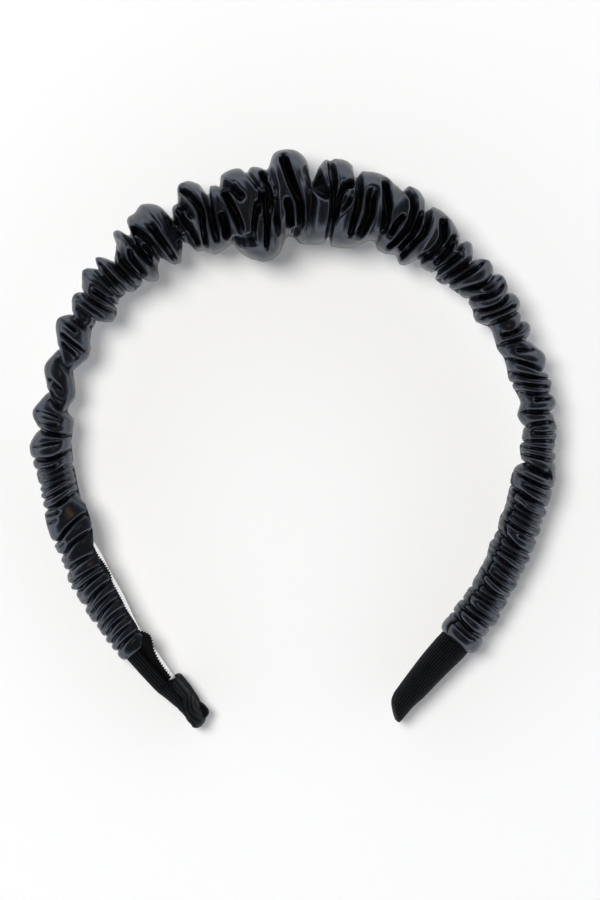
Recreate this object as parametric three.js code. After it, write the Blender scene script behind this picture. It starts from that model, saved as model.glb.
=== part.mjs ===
// A ruched headband: a slim stiff band, a pale lining on its inside, a gathered sleeve of soft black
// leathercloth round it, and a ribbed ribbon wrapped over each end. It lies on its side, +Z up.
import * as THREE from "three";

// Driving dimensions, in millimetres.
const BAND_HALF_WIDTH = 3.0;
const BAND_HALF_THICK = 1.2;
const BAND_CORNER = 0.7;
const BAND_FROM = -186;
const BAND_TO = 184;
const LINING_HALF_WIDTH = 2.5;
const LINING_THICK = 0.6;
const LINING_FROM = -181.0;
const LINING_TO = 161;
const PIECE_GAP = 0.3;
const SLEEVE_WALL = 1.2;
const SLEEVE_VALLEY_WALL = 1.6;
const RIBBON_WALL = 1.0;

// The sleeve's section is an ellipse squared up a little, taller than it is thick by RISE_SHARE.
const SQUARENESS = 0.8;
const RISE_SHARE = 1.12;
const SLEEVE_SIDES = 11;
const WRAP_SIDES = 9;

// A gather's crest takes CREST_SHARE of the way to the valleys beside it, and a valley is DEPTH_SHARE of
// the spacing deep, but never closer to the axis than the band inside allows.
const CREST_SHARE = 0.6;
const LEAST_SHOULDER = 0.15;
const DEPTH_SHARE = 0.34;
const VALLEY_LEAST = { outer: 3.2, inner: 4.5, rise: 5.4 };

// The long edges of the sleeve meet on the inside, and gape on one leg, where the lining shows.
const SEAM_HALF_GAP = 0.35;
const SEAM_OPEN_HALF_GAP = 4.2;
const SEAM_OPEN = { from: -171, to: -128, ease: 8 };

// The arch, seen from the front: clockwise from the crown, in degrees and millimetres from the head's centre.
const HEAD_CENTRE = { x: 0, y: 2.9 };
const ARCH = [
  { deg: -162.5, radius: 86.5 },
  { deg: -150, radius: 77.6 },
  { deg: -136, radius: 72.4 },
  { deg: -116, radius: 68.3 },
  { deg: -92, radius: 66.6 },
  { deg: -68, radius: 66.1 },
  { deg: -44, radius: 65.6 },
  { deg: -22, radius: 64.6 },
  { deg: 0, radius: 63.8 },
  { deg: 22, radius: 64.2 },
  { deg: 44, radius: 65.0 },
  { deg: 68, radius: 66.5 },
  { deg: 92, radius: 68.1 },
  { deg: 116, radius: 68.7 },
  { deg: 136, radius: 72.4 },
  { deg: 150, radius: 77.0 },
  { deg: 161, radius: 85.4 },
];

// The full crown holds the arch up at one end, so its axis slopes down to the tips.
const AXIS_HEIGHT = { crown: 12.2, leftTip: 4.6, rightTip: 5.2 };

// Where the band runs inside the sleeve: millimetres along the arch from the crown, millimetres outward
// of the sleeve's axis, and degrees that its inside face turns up.
const BAND_RUN = [
  { along: -197, outward: -1.4, turn: 14 },
  { along: -182, outward: -0.9, turn: 16 },
  { along: -170, outward: -1.5, turn: 16 },
  { along: -152, outward: -3.3, turn: 16 },
  { along: -142, outward: -3.3, turn: 16 },
  { along: -124, outward: -0.3, turn: 10 },
  { along: -100, outward: 0, turn: 0 },
  { along: 160, outward: 0, turn: 0 },
  { along: 196, outward: -1.0, turn: 0 },
];

// The gathers, a row each: where the crest stands along the arch on the outside and on the inside, and
// how far it reaches outward and inward.
const GATHERS = [
  { outerAt: -168.0, innerAt: -167.8, outer: 5.1, inner: 5.5 },
  { outerAt: -164.6, innerAt: -164.8, outer: 4.9, inner: 4.5 },
  { outerAt: -161.9, innerAt: -161.0, outer: 5.1, inner: 4.6 },
  { outerAt: -158.5, innerAt: -156.4, outer: 5.0, inner: 4.6 },
  { outerAt: -155.0, innerAt: -152.2, outer: 5.6, inner: 4.7 },
  { outerAt: -149.4, innerAt: -147.4, outer: 5.5, inner: 4.9 },
  { outerAt: -144.5, innerAt: -143.0, outer: 6.1, inner: 4.8 },
  { outerAt: -141.0, innerAt: -139.2, outer: 5.1, inner: 4.8 },
  { outerAt: -137.5, innerAt: -135.0, outer: 5.1, inner: 5.3 },
  { outerAt: -133.9, innerAt: -130.4, outer: 5.5, inner: 5.8 },
  { outerAt: -128.0, innerAt: -124.6, outer: 5.8, inner: 5.2 },
  { outerAt: -122.2, innerAt: -120.8, outer: 5.3, inner: 5.2 },
  { outerAt: -119.2, innerAt: -117.8, outer: 5.4, inner: 5.2 },
  { outerAt: -116.4, innerAt: -114.5, outer: 5.3, inner: 5.1 },
  { outerAt: -113.4, innerAt: -110.9, outer: 5.7, inner: 5.2 },
  { outerAt: -107.3, innerAt: -101.2, outer: 6.8, inner: 5.3 },
  { outerAt: -98.5, innerAt: -91.6, outer: 6.5, inner: 4.8 },
  { outerAt: -86.2, innerAt: -80.0, outer: 5.5, inner: 5.6 },
  { outerAt: -74.0, innerAt: -71.6, outer: 6.6, inner: 4.7 },
  { outerAt: -66.6, innerAt: -65.5, outer: 5.8, inner: 7.6 },
  { outerAt: -60.2, innerAt: -59.2, outer: 7.6, inner: 6.3 },
  { outerAt: -55.4, innerAt: -54.0, outer: 7.0, inner: 7.3 },
  { outerAt: -51.3, innerAt: -50.6, outer: 4.6, inner: 7.2 },
  { outerAt: -47.6, innerAt: -47.0, outer: 8.9, inner: 9.1 },
  { outerAt: -40.6, innerAt: -38.6, outer: 10.5, inner: 9.1 },
  { outerAt: -32.0, innerAt: -30.2, outer: 5.8, inner: 8.3 },
  { outerAt: -27.4, innerAt: -24.0, outer: 10.5, inner: 10.0 },
  { outerAt: -20.8, innerAt: -17.4, outer: 7.0, inner: 10.2 },
  { outerAt: -14.8, innerAt: -12.6, outer: 10.3, inner: 13.0 },
  { outerAt: -9.4, innerAt: -8.0, outer: 9.4, inner: 16.0 },
  { outerAt: -5.9, innerAt: -4.2, outer: 8.2, inner: 12.5 },
  { outerAt: -1.4, innerAt: 0.0, outer: 13.8, inner: 10.2 },
  { outerAt: 5.2, innerAt: 5.6, outer: 7.2, inner: 12.1 },
  { outerAt: 11.6, innerAt: 13.4, outer: 12.3, inner: 11.9 },
  { outerAt: 17.0, innerAt: 18.2, outer: 9.4, inner: 10.6 },
  { outerAt: 22.2, innerAt: 23.4, outer: 10.6, inner: 9.6 },
  { outerAt: 29.6, innerAt: 30.4, outer: 10.4, inner: 9.2 },
  { outerAt: 35.2, innerAt: 36.2, outer: 8.9, inner: 9.8 },
  { outerAt: 41.4, innerAt: 42.0, outer: 8.4, inner: 7.4 },
  { outerAt: 45.2, innerAt: 45.2, outer: 6.4, inner: 7.4 },
  { outerAt: 49.2, innerAt: 48.6, outer: 6.4, inner: 7.7 },
  { outerAt: 55.6, innerAt: 52.6, outer: 6.6, inner: 7.0 },
  { outerAt: 61.2, innerAt: 58.4, outer: 6.8, inner: 6.2 },
  { outerAt: 67.6, innerAt: 65.6, outer: 6.5, inner: 7.4 },
  { outerAt: 74.4, innerAt: 72.0, outer: 5.7, inner: 5.4 },
  { outerAt: 80.2, innerAt: 77.8, outer: 5.0, inner: 5.7 },
  { outerAt: 85.6, innerAt: 82.6, outer: 6.1, inner: 5.5 },
  { outerAt: 90.0, innerAt: 86.8, outer: 5.8, inner: 6.0 },
  { outerAt: 93.2, innerAt: 91.4, outer: 5.4, inner: 5.7 },
  { outerAt: 96.6, innerAt: 97.4, outer: 5.7, inner: 5.8 },
  { outerAt: 103.2, innerAt: 102.6, outer: 5.2, inner: 5.3 },
  { outerAt: 108.2, innerAt: 108.0, outer: 5.0, inner: 5.4 },
  { outerAt: 112.0, innerAt: 111.8, outer: 5.2, inner: 5.3 },
  { outerAt: 115.8, innerAt: 115.6, outer: 5.9, inner: 6.3 },
  { outerAt: 121.4, innerAt: 121.8, outer: 5.8, inner: 6.1 },
  { outerAt: 125.6, innerAt: 125.8, outer: 5.8, inner: 5.8 },
  { outerAt: 129.6, innerAt: 129.2, outer: 5.7, inner: 6.2 },
  { outerAt: 133.5, innerAt: 133.2, outer: 5.7, inner: 5.7 },
  { outerAt: 137.4, innerAt: 137.2, outer: 5.8, inner: 6.3 },
  { outerAt: 141.0, innerAt: 141.2, outer: 5.7, inner: 5.7 },
  { outerAt: 145.0, innerAt: 145.2, outer: 5.7, inner: 5.6 },
  { outerAt: 149.4, innerAt: 149.0, outer: 5.6, inner: 5.7 },
  { outerAt: 153.0, innerAt: 152.6, outer: 5.7, inner: 5.6 },
  { outerAt: 156.8, innerAt: 156.4, outer: 6.1, inner: 5.9 },
  { outerAt: 160.2, innerAt: 160.4, outer: 5.4, inner: 6.2 },
  { outerAt: 164.4, innerAt: 164.6, outer: 6.3, inner: 6.2 },
];
const SLEEVE_FROM = -169.6;
const SLEEVE_TO = 167.2;

// The ribbon wraps: the section's reach outward and inward, its rise to each side and half its seam's gap.
const LEFT_WRAP = [
  { along: -167.7, outer: 3.3, inner: -2.7, rise: 4.2, halfGap: 3.5 },
  { along: -175.0, outer: 3.0, inner: -2.6, rise: 4.4, halfGap: 3.6 },
  { along: -181.4, outer: 2.5, inner: -2.9, rise: 4.6, halfGap: 3.7 },
  { along: -181.9, outer: 2.4, inner: -4.3, rise: 4.6, halfGap: 3.1 },
  { along: -182.6, outer: 2.4, inner: -4.4, rise: 4.6, halfGap: 0.3 },
  { along: -187.0, outer: 1.6, inner: -4.4, rise: 4.3, halfGap: 0.3 },
  { along: -191.0, outer: 1.1, inner: -4.1, rise: 3.7, halfGap: 0.3 },
  { along: -194.2, outer: 1.5, inner: -3.9, rise: 3.2, halfGap: 0.3 },
  { along: -196.0, outer: 1.7, inner: -2.4, rise: 2.7, halfGap: 0.3 },
  { along: -197.0, outer: 0.9, inner: -0.9, rise: 2.3, halfGap: 0.3 },
];
const RIGHT_WRAP = [
  { along: 163.4, outer: 4.4, inner: -4.4, rise: 4.5, halfGap: 0.3 },
  { along: 170.0, outer: 4.3, inner: -4.6, rise: 4.5, halfGap: 0.3 },
  { along: 177.0, outer: 3.7, inner: -4.5, rise: 4.5, halfGap: 0.3 },
  { along: 185.0, outer: 2.8, inner: -4.4, rise: 4.4, halfGap: 0.3 },
  { along: 189.0, outer: 1.9, inner: -4.3, rise: 3.9, halfGap: 0.3 },
  { along: 192.0, outer: 1.6, inner: -3.5, rise: 3.3, halfGap: 0.3 },
  { along: 194.4, outer: 1.2, inner: -1.2, rise: 2.5, halfGap: 0.3 },
];

const DEGREE = Math.PI / 180;

// The arch as a curve, and its length from its first point to the crown.
const archPoints = ARCH.map(
  ({ deg, radius }) =>
    new THREE.Vector3(
      HEAD_CENTRE.x + radius * Math.sin(deg * DEGREE),
      HEAD_CENTRE.y + radius * Math.cos(deg * DEGREE),
      0,
    ),
);
const arch = new THREE.CatmullRomCurve3(archPoints, false, "catmullrom", 0.5);
arch.arcLengthDivisions = 2000;
const archLength = arch.getLength();
const crownIndex = ARCH.findIndex(({ deg }) => deg === 0);
const crownLength = arch.getLengths()[Math.round((crownIndex / (ARCH.length - 1)) * arch.arcLengthDivisions)];
const crownY = archPoints[crownIndex].y;
const tipY = archPoints[0].y;

// The value of a column at a place along the arch, eased between the rows.
function column(rows, name, along) {
  const after = rows.findIndex((row) => row.along >= along);
  if (after === -1) return rows[rows.length - 1][name];
  if (after === 0) return rows[0][name];
  const [a, b] = [rows[after - 1], rows[after]];
  return THREE.MathUtils.lerp(a[name], b[name], THREE.MathUtils.smoothstep(along, a.along, b.along));
}

// A point given along the arch from the crown, outward of its axis and up from it, in the part's frame.
function place(along, outward, up) {
  const u = THREE.MathUtils.clamp((along + crownLength) / archLength, 0, 1);
  const point = arch.getPointAt(u);
  const tangent = arch.getTangentAt(u);
  const past = along + crownLength - u * archLength;
  const turn = column(BAND_RUN, "turn", along) * DEGREE;
  const n = outward * Math.cos(turn) + up * Math.sin(turn);
  const z = up * Math.cos(turn) - outward * Math.sin(turn);
  const share = (point.y - tipY) / (crownY - tipY);
  const tipHeight = along < 0 ? AXIS_HEIGHT.leftTip : AXIS_HEIGHT.rightTip;
  const height = THREE.MathUtils.lerp(tipHeight, AXIS_HEIGHT.crown, share);
  return new THREE.Vector3(
    point.x + tangent.x * past - tangent.y * n,
    point.y + tangent.y * past + tangent.x * n,
    height + z,
  );
}

// A point of a section squared up from an ellipse: outward and up, for an angle from the outward side.
function sectionPoint(angle, { outer, inner, rise }) {
  const c = Math.cos(angle);
  const s = Math.sin(angle);
  return {
    outward: Math.sign(c) * Math.abs(c) ** SQUARENESS * (c > 0 ? outer : inner),
    up: Math.sign(s) * Math.abs(s) ** SQUARENESS * rise,
  };
}

// The angle of a point beside the seam, where the section is halfGap up from the seam's middle.
function seamAngle(rise, halfGap) {
  return Math.PI - Math.asin(Math.min(1, halfGap / rise) ** (1 / SQUARENESS));
}

// A solid lofted through closed sections with the same number of points, ended by zigzag caps.
function loft(sections) {
  const around = sections[0].length;
  const positions = sections.flat().flatMap((p) => [p.x, p.y, p.z]);
  const index = [];
  for (let r = 0; r + 1 < sections.length; r++) {
    for (let j = 0; j < around; j++) {
      const a = r * around + j;
      const b = r * around + ((j + 1) % around);
      index.push(a, a + around, b, b, a + around, b + around);
    }
  }
  const last = (sections.length - 1) * around;
  for (let j = 0; j + 1 < around / 2; j++) {
    const k = around - 1 - j;
    index.push(j, j + 1, k, j + 1, k - 1, k);
    index.push(last + j, last + k, last + j + 1, last + j + 1, last + k, last + k - 1);
  }
  return new THREE.BufferGeometry()
    .setAttribute("position", new THREE.Float32BufferAttribute(positions, 3))
    .setIndex(index);
}

// The half gap of the sleeve's seam along the arch.
function seamHalfGap(along) {
  const { from, to, ease } = SEAM_OPEN;
  const open =
    THREE.MathUtils.smoothstep(along, from - ease / 2, from) *
    (1 - THREE.MathUtils.smoothstep(along, to, to + ease));
  return THREE.MathUtils.lerp(SEAM_HALF_GAP, SEAM_OPEN_HALF_GAP, open);
}

// Where a gather's crest stands at an angle round the section.
function crestAlong({ outerAt, innerAt }, angle) {
  return THREE.MathUtils.lerp(innerAt, outerAt, 0.5 + 0.5 * Math.cos(angle));
}

function crestReach({ outer, inner }) {
  return { outer, inner, rise: (RISE_SHARE * (outer + inner)) / 2 };
}

function valleyReach(a, b) {
  const depth = DEPTH_SHARE * (crestAlong(b, Math.PI / 2) - crestAlong(a, Math.PI / 2));
  const [p, q] = [crestReach(a), crestReach(b)];
  const reach = {};
  for (const side of ["outer", "inner", "rise"]) {
    reach[side] = Math.max(VALLEY_LEAST[side], Math.min(p[side], q[side]) - depth);
  }
  return reach;
}

// A reach made smaller all round.
function shrink({ outer, inner, rise }, by) {
  return { outer: outer - by, inner: inner - by, rise: rise - by };
}

// The sleeve's rings from end to end, each a reach and a function from angle to place along the arch: both
// shoulders of every crest and the valleys between. The inner face is thinner by the wall.
function sleeveRings(wall, valleyWall) {
  const between = (a, b) => (angle) => (crestAlong(a, angle) + crestAlong(b, angle)) / 2;
  const rings = [];
  GATHERS.forEach((gather, k) => {
    const crest = shrink(crestReach(gather), wall);
    const [before, after] = [GATHERS[k - 1], GATHERS[k + 1]];
    const start = before ? between(before, gather) : () => SLEEVE_FROM;
    const end = after ? between(gather, after) : () => SLEEVE_TO;
    const shoulder = (edge) => (angle) => {
      const middle = crestAlong(gather, angle);
      const way = edge(angle) - middle;
      return middle + Math.sign(way) * Math.max(LEAST_SHOULDER, Math.abs(way) * CREST_SHARE - wall / 2);
    };
    if (!before) rings.push({ reach: crest, along: start });
    rings.push({ reach: crest, along: shoulder(start) }, { reach: crest, along: shoulder(end) });
    rings.push({ reach: after ? shrink(valleyReach(gather, after), valleyWall) : crest, along: end });
  });
  return rings;
}

// One face of a ring, from one side of the seam round to the other, kept off the floor.
function ringFace({ reach, along }, sides, halfGapAt, lowest) {
  const points = [];
  const first = seamAngle(reach.rise, halfGapAt(along(Math.PI)));
  for (let j = 0; j <= sides; j++) {
    const angle = first * (1 - (2 * j) / sides);
    const { outward, up } = sectionPoint(angle, reach);
    const point = place(along(angle), outward, up);
    point.z = Math.max(point.z, lowest);
    points.push(point);
  }
  return points;
}

// A wall between an outer and an inner face, as closed sections.
function wallSections(outerRings, innerRings, sides, halfGapAt, wall) {
  return outerRings.map((ring, r) => [
    ...ringFace(ring, sides, halfGapAt, 0),
    ...ringFace(innerRings[r], sides, halfGapAt, wall).reverse(),
  ]);
}

function sleeveGeometry() {
  const inner = sleeveRings(SLEEVE_WALL, SLEEVE_VALLEY_WALL);
  return loft(wallSections(sleeveRings(0, 0), inner, SLEEVE_SIDES, seamHalfGap, SLEEVE_WALL));
}

// A ribbon wrap: its rows are sections about their own middles.
function wrapGeometry(rows) {
  const face = ({ along, outer, inner, rise, halfGap }, thin, lowest) => {
    const middle = (outer + inner) / 2;
    const half = Math.max(0.35, (outer - inner) / 2 - thin);
    const reach = { outer: half, inner: half, rise: rise - thin };
    const first = seamAngle(reach.rise, halfGap);
    const points = [];
    for (let j = 0; j <= WRAP_SIDES; j++) {
      const { outward, up } = sectionPoint(first * (1 - (2 * j) / WRAP_SIDES), reach);
      const point = place(along, middle + outward, up);
      point.z = Math.max(point.z, lowest);
      points.push(point);
    }
    return points;
  };
  const ordered = [...rows].sort((a, b) => a.along - b.along);
  return loft(ordered.map((row) => [...face(row, 0, 0), ...face(row, RIBBON_WALL, RIBBON_WALL).reverse()]));
}

// A strip along the band's run, with a section given outward and up from the band's middle.
function stripGeometry(from, to, steps, section) {
  const sections = [];
  for (let r = 0; r <= steps; r++) {
    const along = THREE.MathUtils.lerp(from, to, r / steps);
    const outward = column(BAND_RUN, "outward", along);
    sections.push(section.map(([n, z]) => place(along, outward + n, z)));
  }
  return loft(sections);
}

function bandGeometry() {
  const [t, w, c] = [BAND_HALF_THICK, BAND_HALF_WIDTH, BAND_CORNER];
  const section = [[-t, w - c], [-t + c, w], [t - c, w], [t, w - c], [t, c - w], [t - c, -w], [c - t, -w], [-t, c - w]];
  return stripGeometry(BAND_FROM, BAND_TO, 52, section);
}

function liningGeometry() {
  const top = -BAND_HALF_THICK - PIECE_GAP;
  const bottom = top - LINING_THICK;
  const w = LINING_HALF_WIDTH;
  return stripGeometry(LINING_FROM, LINING_TO, 48, [[bottom, w], [top, w], [top, -w], [bottom, -w]]);
}

const leathercloth = new THREE.MeshStandardMaterial({ color: 0x17181b, roughness: 0.42, metalness: 0 });
const ribbon = new THREE.MeshStandardMaterial({ color: 0x0e0e11, roughness: 0.8, metalness: 0 });
const bandCloth = new THREE.MeshStandardMaterial({ color: 0x0a0a0c, roughness: 0.85, metalness: 0 });
const paleCloth = new THREE.MeshStandardMaterial({ color: 0xe4e3e0, roughness: 0.7, metalness: 0 });

function piece(name, geometry, material) {
  const mesh = new THREE.Mesh(geometry, material);
  mesh.name = name;
  return mesh;
}

const headband = new THREE.Group();
headband.add(
  piece("band", bandGeometry(), bandCloth),
  piece("lining", liningGeometry(), paleCloth),
  piece("ruched_sleeve", sleeveGeometry(), leathercloth),
  piece("end_wrap_left", wrapGeometry(LEFT_WRAP), ribbon),
  piece("end_wrap_right", wrapGeometry(RIGHT_WRAP), ribbon),
);

export default headband;
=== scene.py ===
"""The headband's look: the gathered sleeve as one cloth, ribbed ribbon ends and the pale lining."""
import math

import bpy
import numpy as np
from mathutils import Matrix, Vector


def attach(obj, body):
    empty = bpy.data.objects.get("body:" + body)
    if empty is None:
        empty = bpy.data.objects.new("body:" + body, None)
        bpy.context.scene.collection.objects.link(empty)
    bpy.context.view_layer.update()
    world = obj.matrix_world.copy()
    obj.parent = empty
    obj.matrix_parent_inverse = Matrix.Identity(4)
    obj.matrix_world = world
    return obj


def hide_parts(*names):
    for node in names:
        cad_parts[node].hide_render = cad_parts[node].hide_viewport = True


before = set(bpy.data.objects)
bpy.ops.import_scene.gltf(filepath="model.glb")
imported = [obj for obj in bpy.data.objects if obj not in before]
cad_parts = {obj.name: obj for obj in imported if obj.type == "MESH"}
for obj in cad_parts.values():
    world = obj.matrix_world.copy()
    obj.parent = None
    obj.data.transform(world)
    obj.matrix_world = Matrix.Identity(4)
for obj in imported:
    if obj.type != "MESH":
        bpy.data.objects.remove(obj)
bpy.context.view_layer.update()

MM = 0.001
SEED = 7
# The lowest that cloth comes to the floor, in millimetres.
LEAST_HEIGHT = 0.12

# The arch, seen from the front: degrees clockwise from the crown, millimetres from the head's centre.
HEAD_CENTRE = (0.0, 2.9)
ARCH = np.array([
    (-162.5, 86.5), (-150, 77.6), (-136, 72.4), (-116, 68.3), (-92, 66.6), (-68, 66.1),
    (-44, 65.6), (-22, 64.6), (0, 63.8), (22, 64.2), (44, 65.0), (68, 66.5),
    (92, 68.1), (116, 68.7), (136, 72.4), (150, 77.0), (161, 85.4),
])
ARCH_STEPS = 200
AXIS_HEIGHT_CROWN = 12.2
AXIS_HEIGHT_LEFT_TIP = 4.6
AXIS_HEIGHT_RIGHT_TIP = 5.2

# The band inside the sleeve: along the arch, outward of the sleeve's axis, turn of its inside face.
BAND_RUN = np.array([
    (-197, -1.4, 14), (-182, -0.9, 16), (-170, -1.5, 16), (-152, -3.3, 16), (-142, -3.3, 16),
    (-124, -0.3, 10), (-100, 0, 0), (160, 0, 0), (196, -1.0, 0),
], float)
BAND_HALF_WIDTH = 3.0
BAND_HALF_THICK = 1.2

# The lower legs' puffs: places along the arch on the outside and the inside, and reach outward and inward.
GATHERS = np.array([
    (-168, -167.8, 4.8, 5), (-164.6, -164.8, 4.9, 4.5), (-161.9, -161, 5.1, 4.6),
    (-158.5, -156.4, 5, 4.6), (-155, -152.2, 5.6, 4.7), (-149.4, -147.4, 5.5, 4.9),
    (-144.5, -143, 6.1, 4.8), (-141, -139.2, 5.1, 4.8), (-137.5, -135, 5.1, 5.3),
    (-133.9, -130.4, 5.5, 5.8), (-128, -124.6, 5.8, 5.2), (-122.2, -120.8, 5.3, 5.2),
    (-119.2, -117.8, 5.4, 5.2), (-116.4, -114.5, 5.3, 5.1), (-113.4, -110.9, 5.7, 5.2),
    (112, 111.8, 5.2, 5.3), (115.8, 115.6, 5.9, 6.3), (121.4, 121.8, 5.8, 6.1), (125.6, 125.8, 5.8, 5.8),
    (129.6, 129.2, 5.7, 6.2), (133.5, 133.2, 5.7, 5.7), (137.4, 137.2, 5.8, 6.3), (141, 141.2, 5.7, 5.7),
    (145, 145.2, 5.7, 5.6), (149.4, 149, 5.6, 5.7), (153, 152.6, 5.7, 5.6), (156.8, 156.4, 6.1, 5.9),
    (160.2, 160.4, 5.4, 6.2), (164.4, 164.6, 6.3, 6.2),
])
# The crown's pockets, seen from the front: half width of the floor, shoulder, depth, and the line along its
# middle as places along the arch and outward of it.
CROWN_POCKETS = [
    (0.2, 0.5, 2.0, ((-49.2, 5.7), (-48.6, 5.0))),
    (0.5, 0.7, 3.5, ((-47.9, 0.9), (-48.8, -1.5), (-49.2, -6.0))),
    (0.35, 0.8, 4.5, ((-45.2, 6.6), (-45.9, 2.5), (-46.2, -1.0), (-45.6, -4.5))),
    (0.5, 0.7, 3.5, ((-44.6, 5.0), (-43.3, 4.2), (-42.4, 1.5), (-42.1, -2.0), (-42.3, -5.4))),
    (0.3, 0.5, 2.5, ((-43.9, -0.6), (-44.0, -3.4))),
    (0.15, 2.0, 2.0, ((-41.4, 10.6), (-40.2, 6.0), (-39.3, 1.5))),
    (0.5, 0.9, 4.0, ((-39.4, 2.8), (-39.2, -1.5), (-38.8, -8.4))),
    (0.4, 0.9, 4.5, ((-33.7, 3.6), (-34.3, 1.6), (-34.2, 0.5))),
    (0.35, 0.6, 3.0, ((-35.4, -5.3), (-34.0, -5.0))),
    (0.6, 0.8, 4.5, ((-33.4, -2.7), (-32.4, -4.5), (-32.2, -7.2))),
    (0.4, 0.6, 4.0, ((-31.1, 2.9), (-30.9, 0.0), (-30.4, -3.0), (-30.0, -7.4))),
    (0.25, 0.5, 3.0, ((-33.8, 0.9), (-33.2, 0.1))),
    (0.5, 0.7, 4.5, ((-29.9, 4.9), (-29.3, 2.5), (-28.7, -0.2))),
    (0.4, 0.8, 4.5, ((-28.1, 8.3), (-27.2, 6.2), (-26.2, 3.0), (-25.7, 0.5), (-26.0, -2.0))),
    (0.4, 0.6, 4.5, ((-26.4, -2.6), (-27.0, -5.5), (-27.8, -8.6))),
    (0.55, 0.7, 5.0, ((-22.6, 6.8), (-22.9, 3.5), (-23.3, 0.0), (-23.8, -4.0), (-24.2, -8.2))),
    (0.7, 0.7, 4.5, ((-20.6, -3.2), (-20.4, -5.5), (-20.9, -8.0))),
    (0.75, 0.8, 5.0, ((-18.0, 2.9), (-17.6, 0.5), (-16.8, -3.0), (-15.9, -7.3))),
    (0.5, 0.7, 3.5, ((-18.9, 7.0), (-18.2, 6.0), (-16.9, 5.2))),
    (0.5, 1.2, 3.5, ((-16.0, 4.2), (-15.0, 2.2), (-14.2, 1.2))),
    (0.1, 0.9, 2.0, ((-12.2, 9.8), (-10.9, 6.5), (-9.3, 3.2))),
    (0.4, 0.6, 4.0, ((-7.9, 6.7), (-7.5, 5.0), (-6.6, 3.0), (-6.2, 0.0), (-6.3, -4.0))),
    (0.15, 0.4, 2.0, ((-6.9, 6.8), (-5.9, 5.0))),
    (0.3, 0.5, 3.0, ((-8.6, 1.4), (-9.0, -1.5), (-9.6, -3.6))),
    (0.45, 0.6, 4.5, ((-7.7, 0.6), (-7.9, -3.0), (-7.8, -7.0), (-8.3, -10.5), (-8.7, -13.0))),
    (0.25, 0.6, 4.0, ((-10.2, -2.0), (-11.2, -5.5), (-12.2, -8.6))),
    (0.6, 0.7, 3.5, ((-18.6, -10.3), (-15.5, -11.3), (-12.5, -11.0))),
    (0.45, 0.7, 4.0, ((-4.9, -0.8), (-4.9, -4.5), (-4.6, -9.2))),
    (0.8, 0.8, 5.5, ((-2.4, 10.6), (-1.6, 7.5), (-0.5, 4.0), (0.6, 1.2), (1.9, -2.5), (2.3, -7.3))),
    (0.3, 0.6, 4.0, ((-5.6, 8.4), (-5.3, 5.0), (-4.6, 1.6))),
    (0.8, 0.7, 5.0, ((-1.6, -1.8), (-1.0, -4.0), (-0.8, -7.4))),
    (0.45, 0.6, 2.5, ((0.3, -9.7), (1.6, -9.4))),
    (0.7, 1.7, 5.0, ((4.3, 7.0), (6.2, 4.2), (7.8, 2.0), (9.0, 1.5))),
    (0.4, 0.8, 5.0, ((9.0, 10.8), (9.9, 7.0), (10.8, 3.0), (11.1, -1.0), (11.5, -5.0), (11.3, -11.8))),
    (0.6, 0.7, 4.5, ((14.9, 5.1), (13.4, 4.4), (12.6, 2.0), (12.4, -1.0), (12.2, -5.0))),
    (0.25, 0.5, 3.0, ((14.2, 1.2), (13.5, -0.6))),
    (0.15, 0.5, 2.5, ((15.6, 1.2), (15.0, -1.0), (13.6, -3.4))),
    (0.3, 0.8, 5.0, ((15.5, 9.6), (16.7, 6.2), (17.7, 2.5), (18.0, -1.5), (17.8, -5.0), (18.0, -8.0))),
    (1.1, 1.0, 4.5, ((20.7, 4.4), (20.8, 2.0), (21.6, -2.0), (21.3, -6.0), (20.8, -7.2))),
    (0.5, 0.8, 4.5, ((23.0, 8.4), (24.2, 5.5), (25.6, 2.0), (26.6, -1.5), (27.2, -4.0))),
    (0.45, 0.6, 4.5, ((30.4, 0.8), (29.7, -1.5), (29.5, -4.5))),
    (0.4, 0.6, 4.5, ((32.5, -3.0), (31.8, -6.0), (30.6, -8.0))),
    (0.35, 0.7, 4.5, ((27.2, 9.3), (29.0, 8.4), (30.8, 7.2), (32.0, 5.0), (32.8, 1.5), (33.0, -2.0))),
    (0.4, 0.6, 4.5, ((34.6, 4.0), (35.0, 1.0), (35.2, -2.5), (34.2, -6.5))),
    (0.35, 0.7, 4.5, ((34.7, 8.4), (35.9, 5.5), (37.2, 2.5), (37.6, -0.5), (36.6, -5.0), (35.7, -8.6))),
    (0.5, 1.0, 3.5, ((40.4, 5.8), (41.4, 4.2), (42.6, 2.2), (43.0, -0.5), (42.6, -3.6), (41.4, -5.8))),
    (0.15, 0.5, 2.5, ((44.6, 4.6), (44.6, 1.0), (43.9, -3.5))),
    (0.4, 0.6, 3.5, ((45.3, 3.0), (45.7, 0.0), (45.4, -4.4))),
    (0.25, 0.6, 3.0, ((46.9, 5.4), (47.3, 3.2), (47.8, 2.4))),
    (0.45, 0.7, 3.5, ((48.9, 1.0), (48.5, -3.0), (47.2, -6.8))),
]
# The crown lies between these two lines, given on the outside, on top and on the inside.
CROWN_EDGES = ((-49.6, -49.9, -49.8), (51.0, 50.2, 48.2))
CROWN_COLUMNS = 360
# The slits across the crown's underside: spacing, margin at the crown's ends, shift along the arch, reach to
# each side, and half width, shoulder and depth. Below the outline the top's pockets run out and they begin.
UNDER_SPACING = 6.0
UNDER_MARGIN = 2
UNDER_SHIFT = 1.2
UNDER_REACH = (4, 13)
UNDER_SLIT = (0.2, 2.0, 3.0)
RIM_ENDS = (0, 0.5)
UNDER_BEGINS = (0.1, 0.6)
# What the cloth shows of the pockets' widths and depths, and how far they lean to the band.
POCKET_HALF = 0.45
POCKET_SHOULDER = 1.15
POCKET_DEPTH_SHARE = 0.8
POCKET_LEAN = 0.8
POCKET_EDGE_SHARE = 0.5
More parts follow.
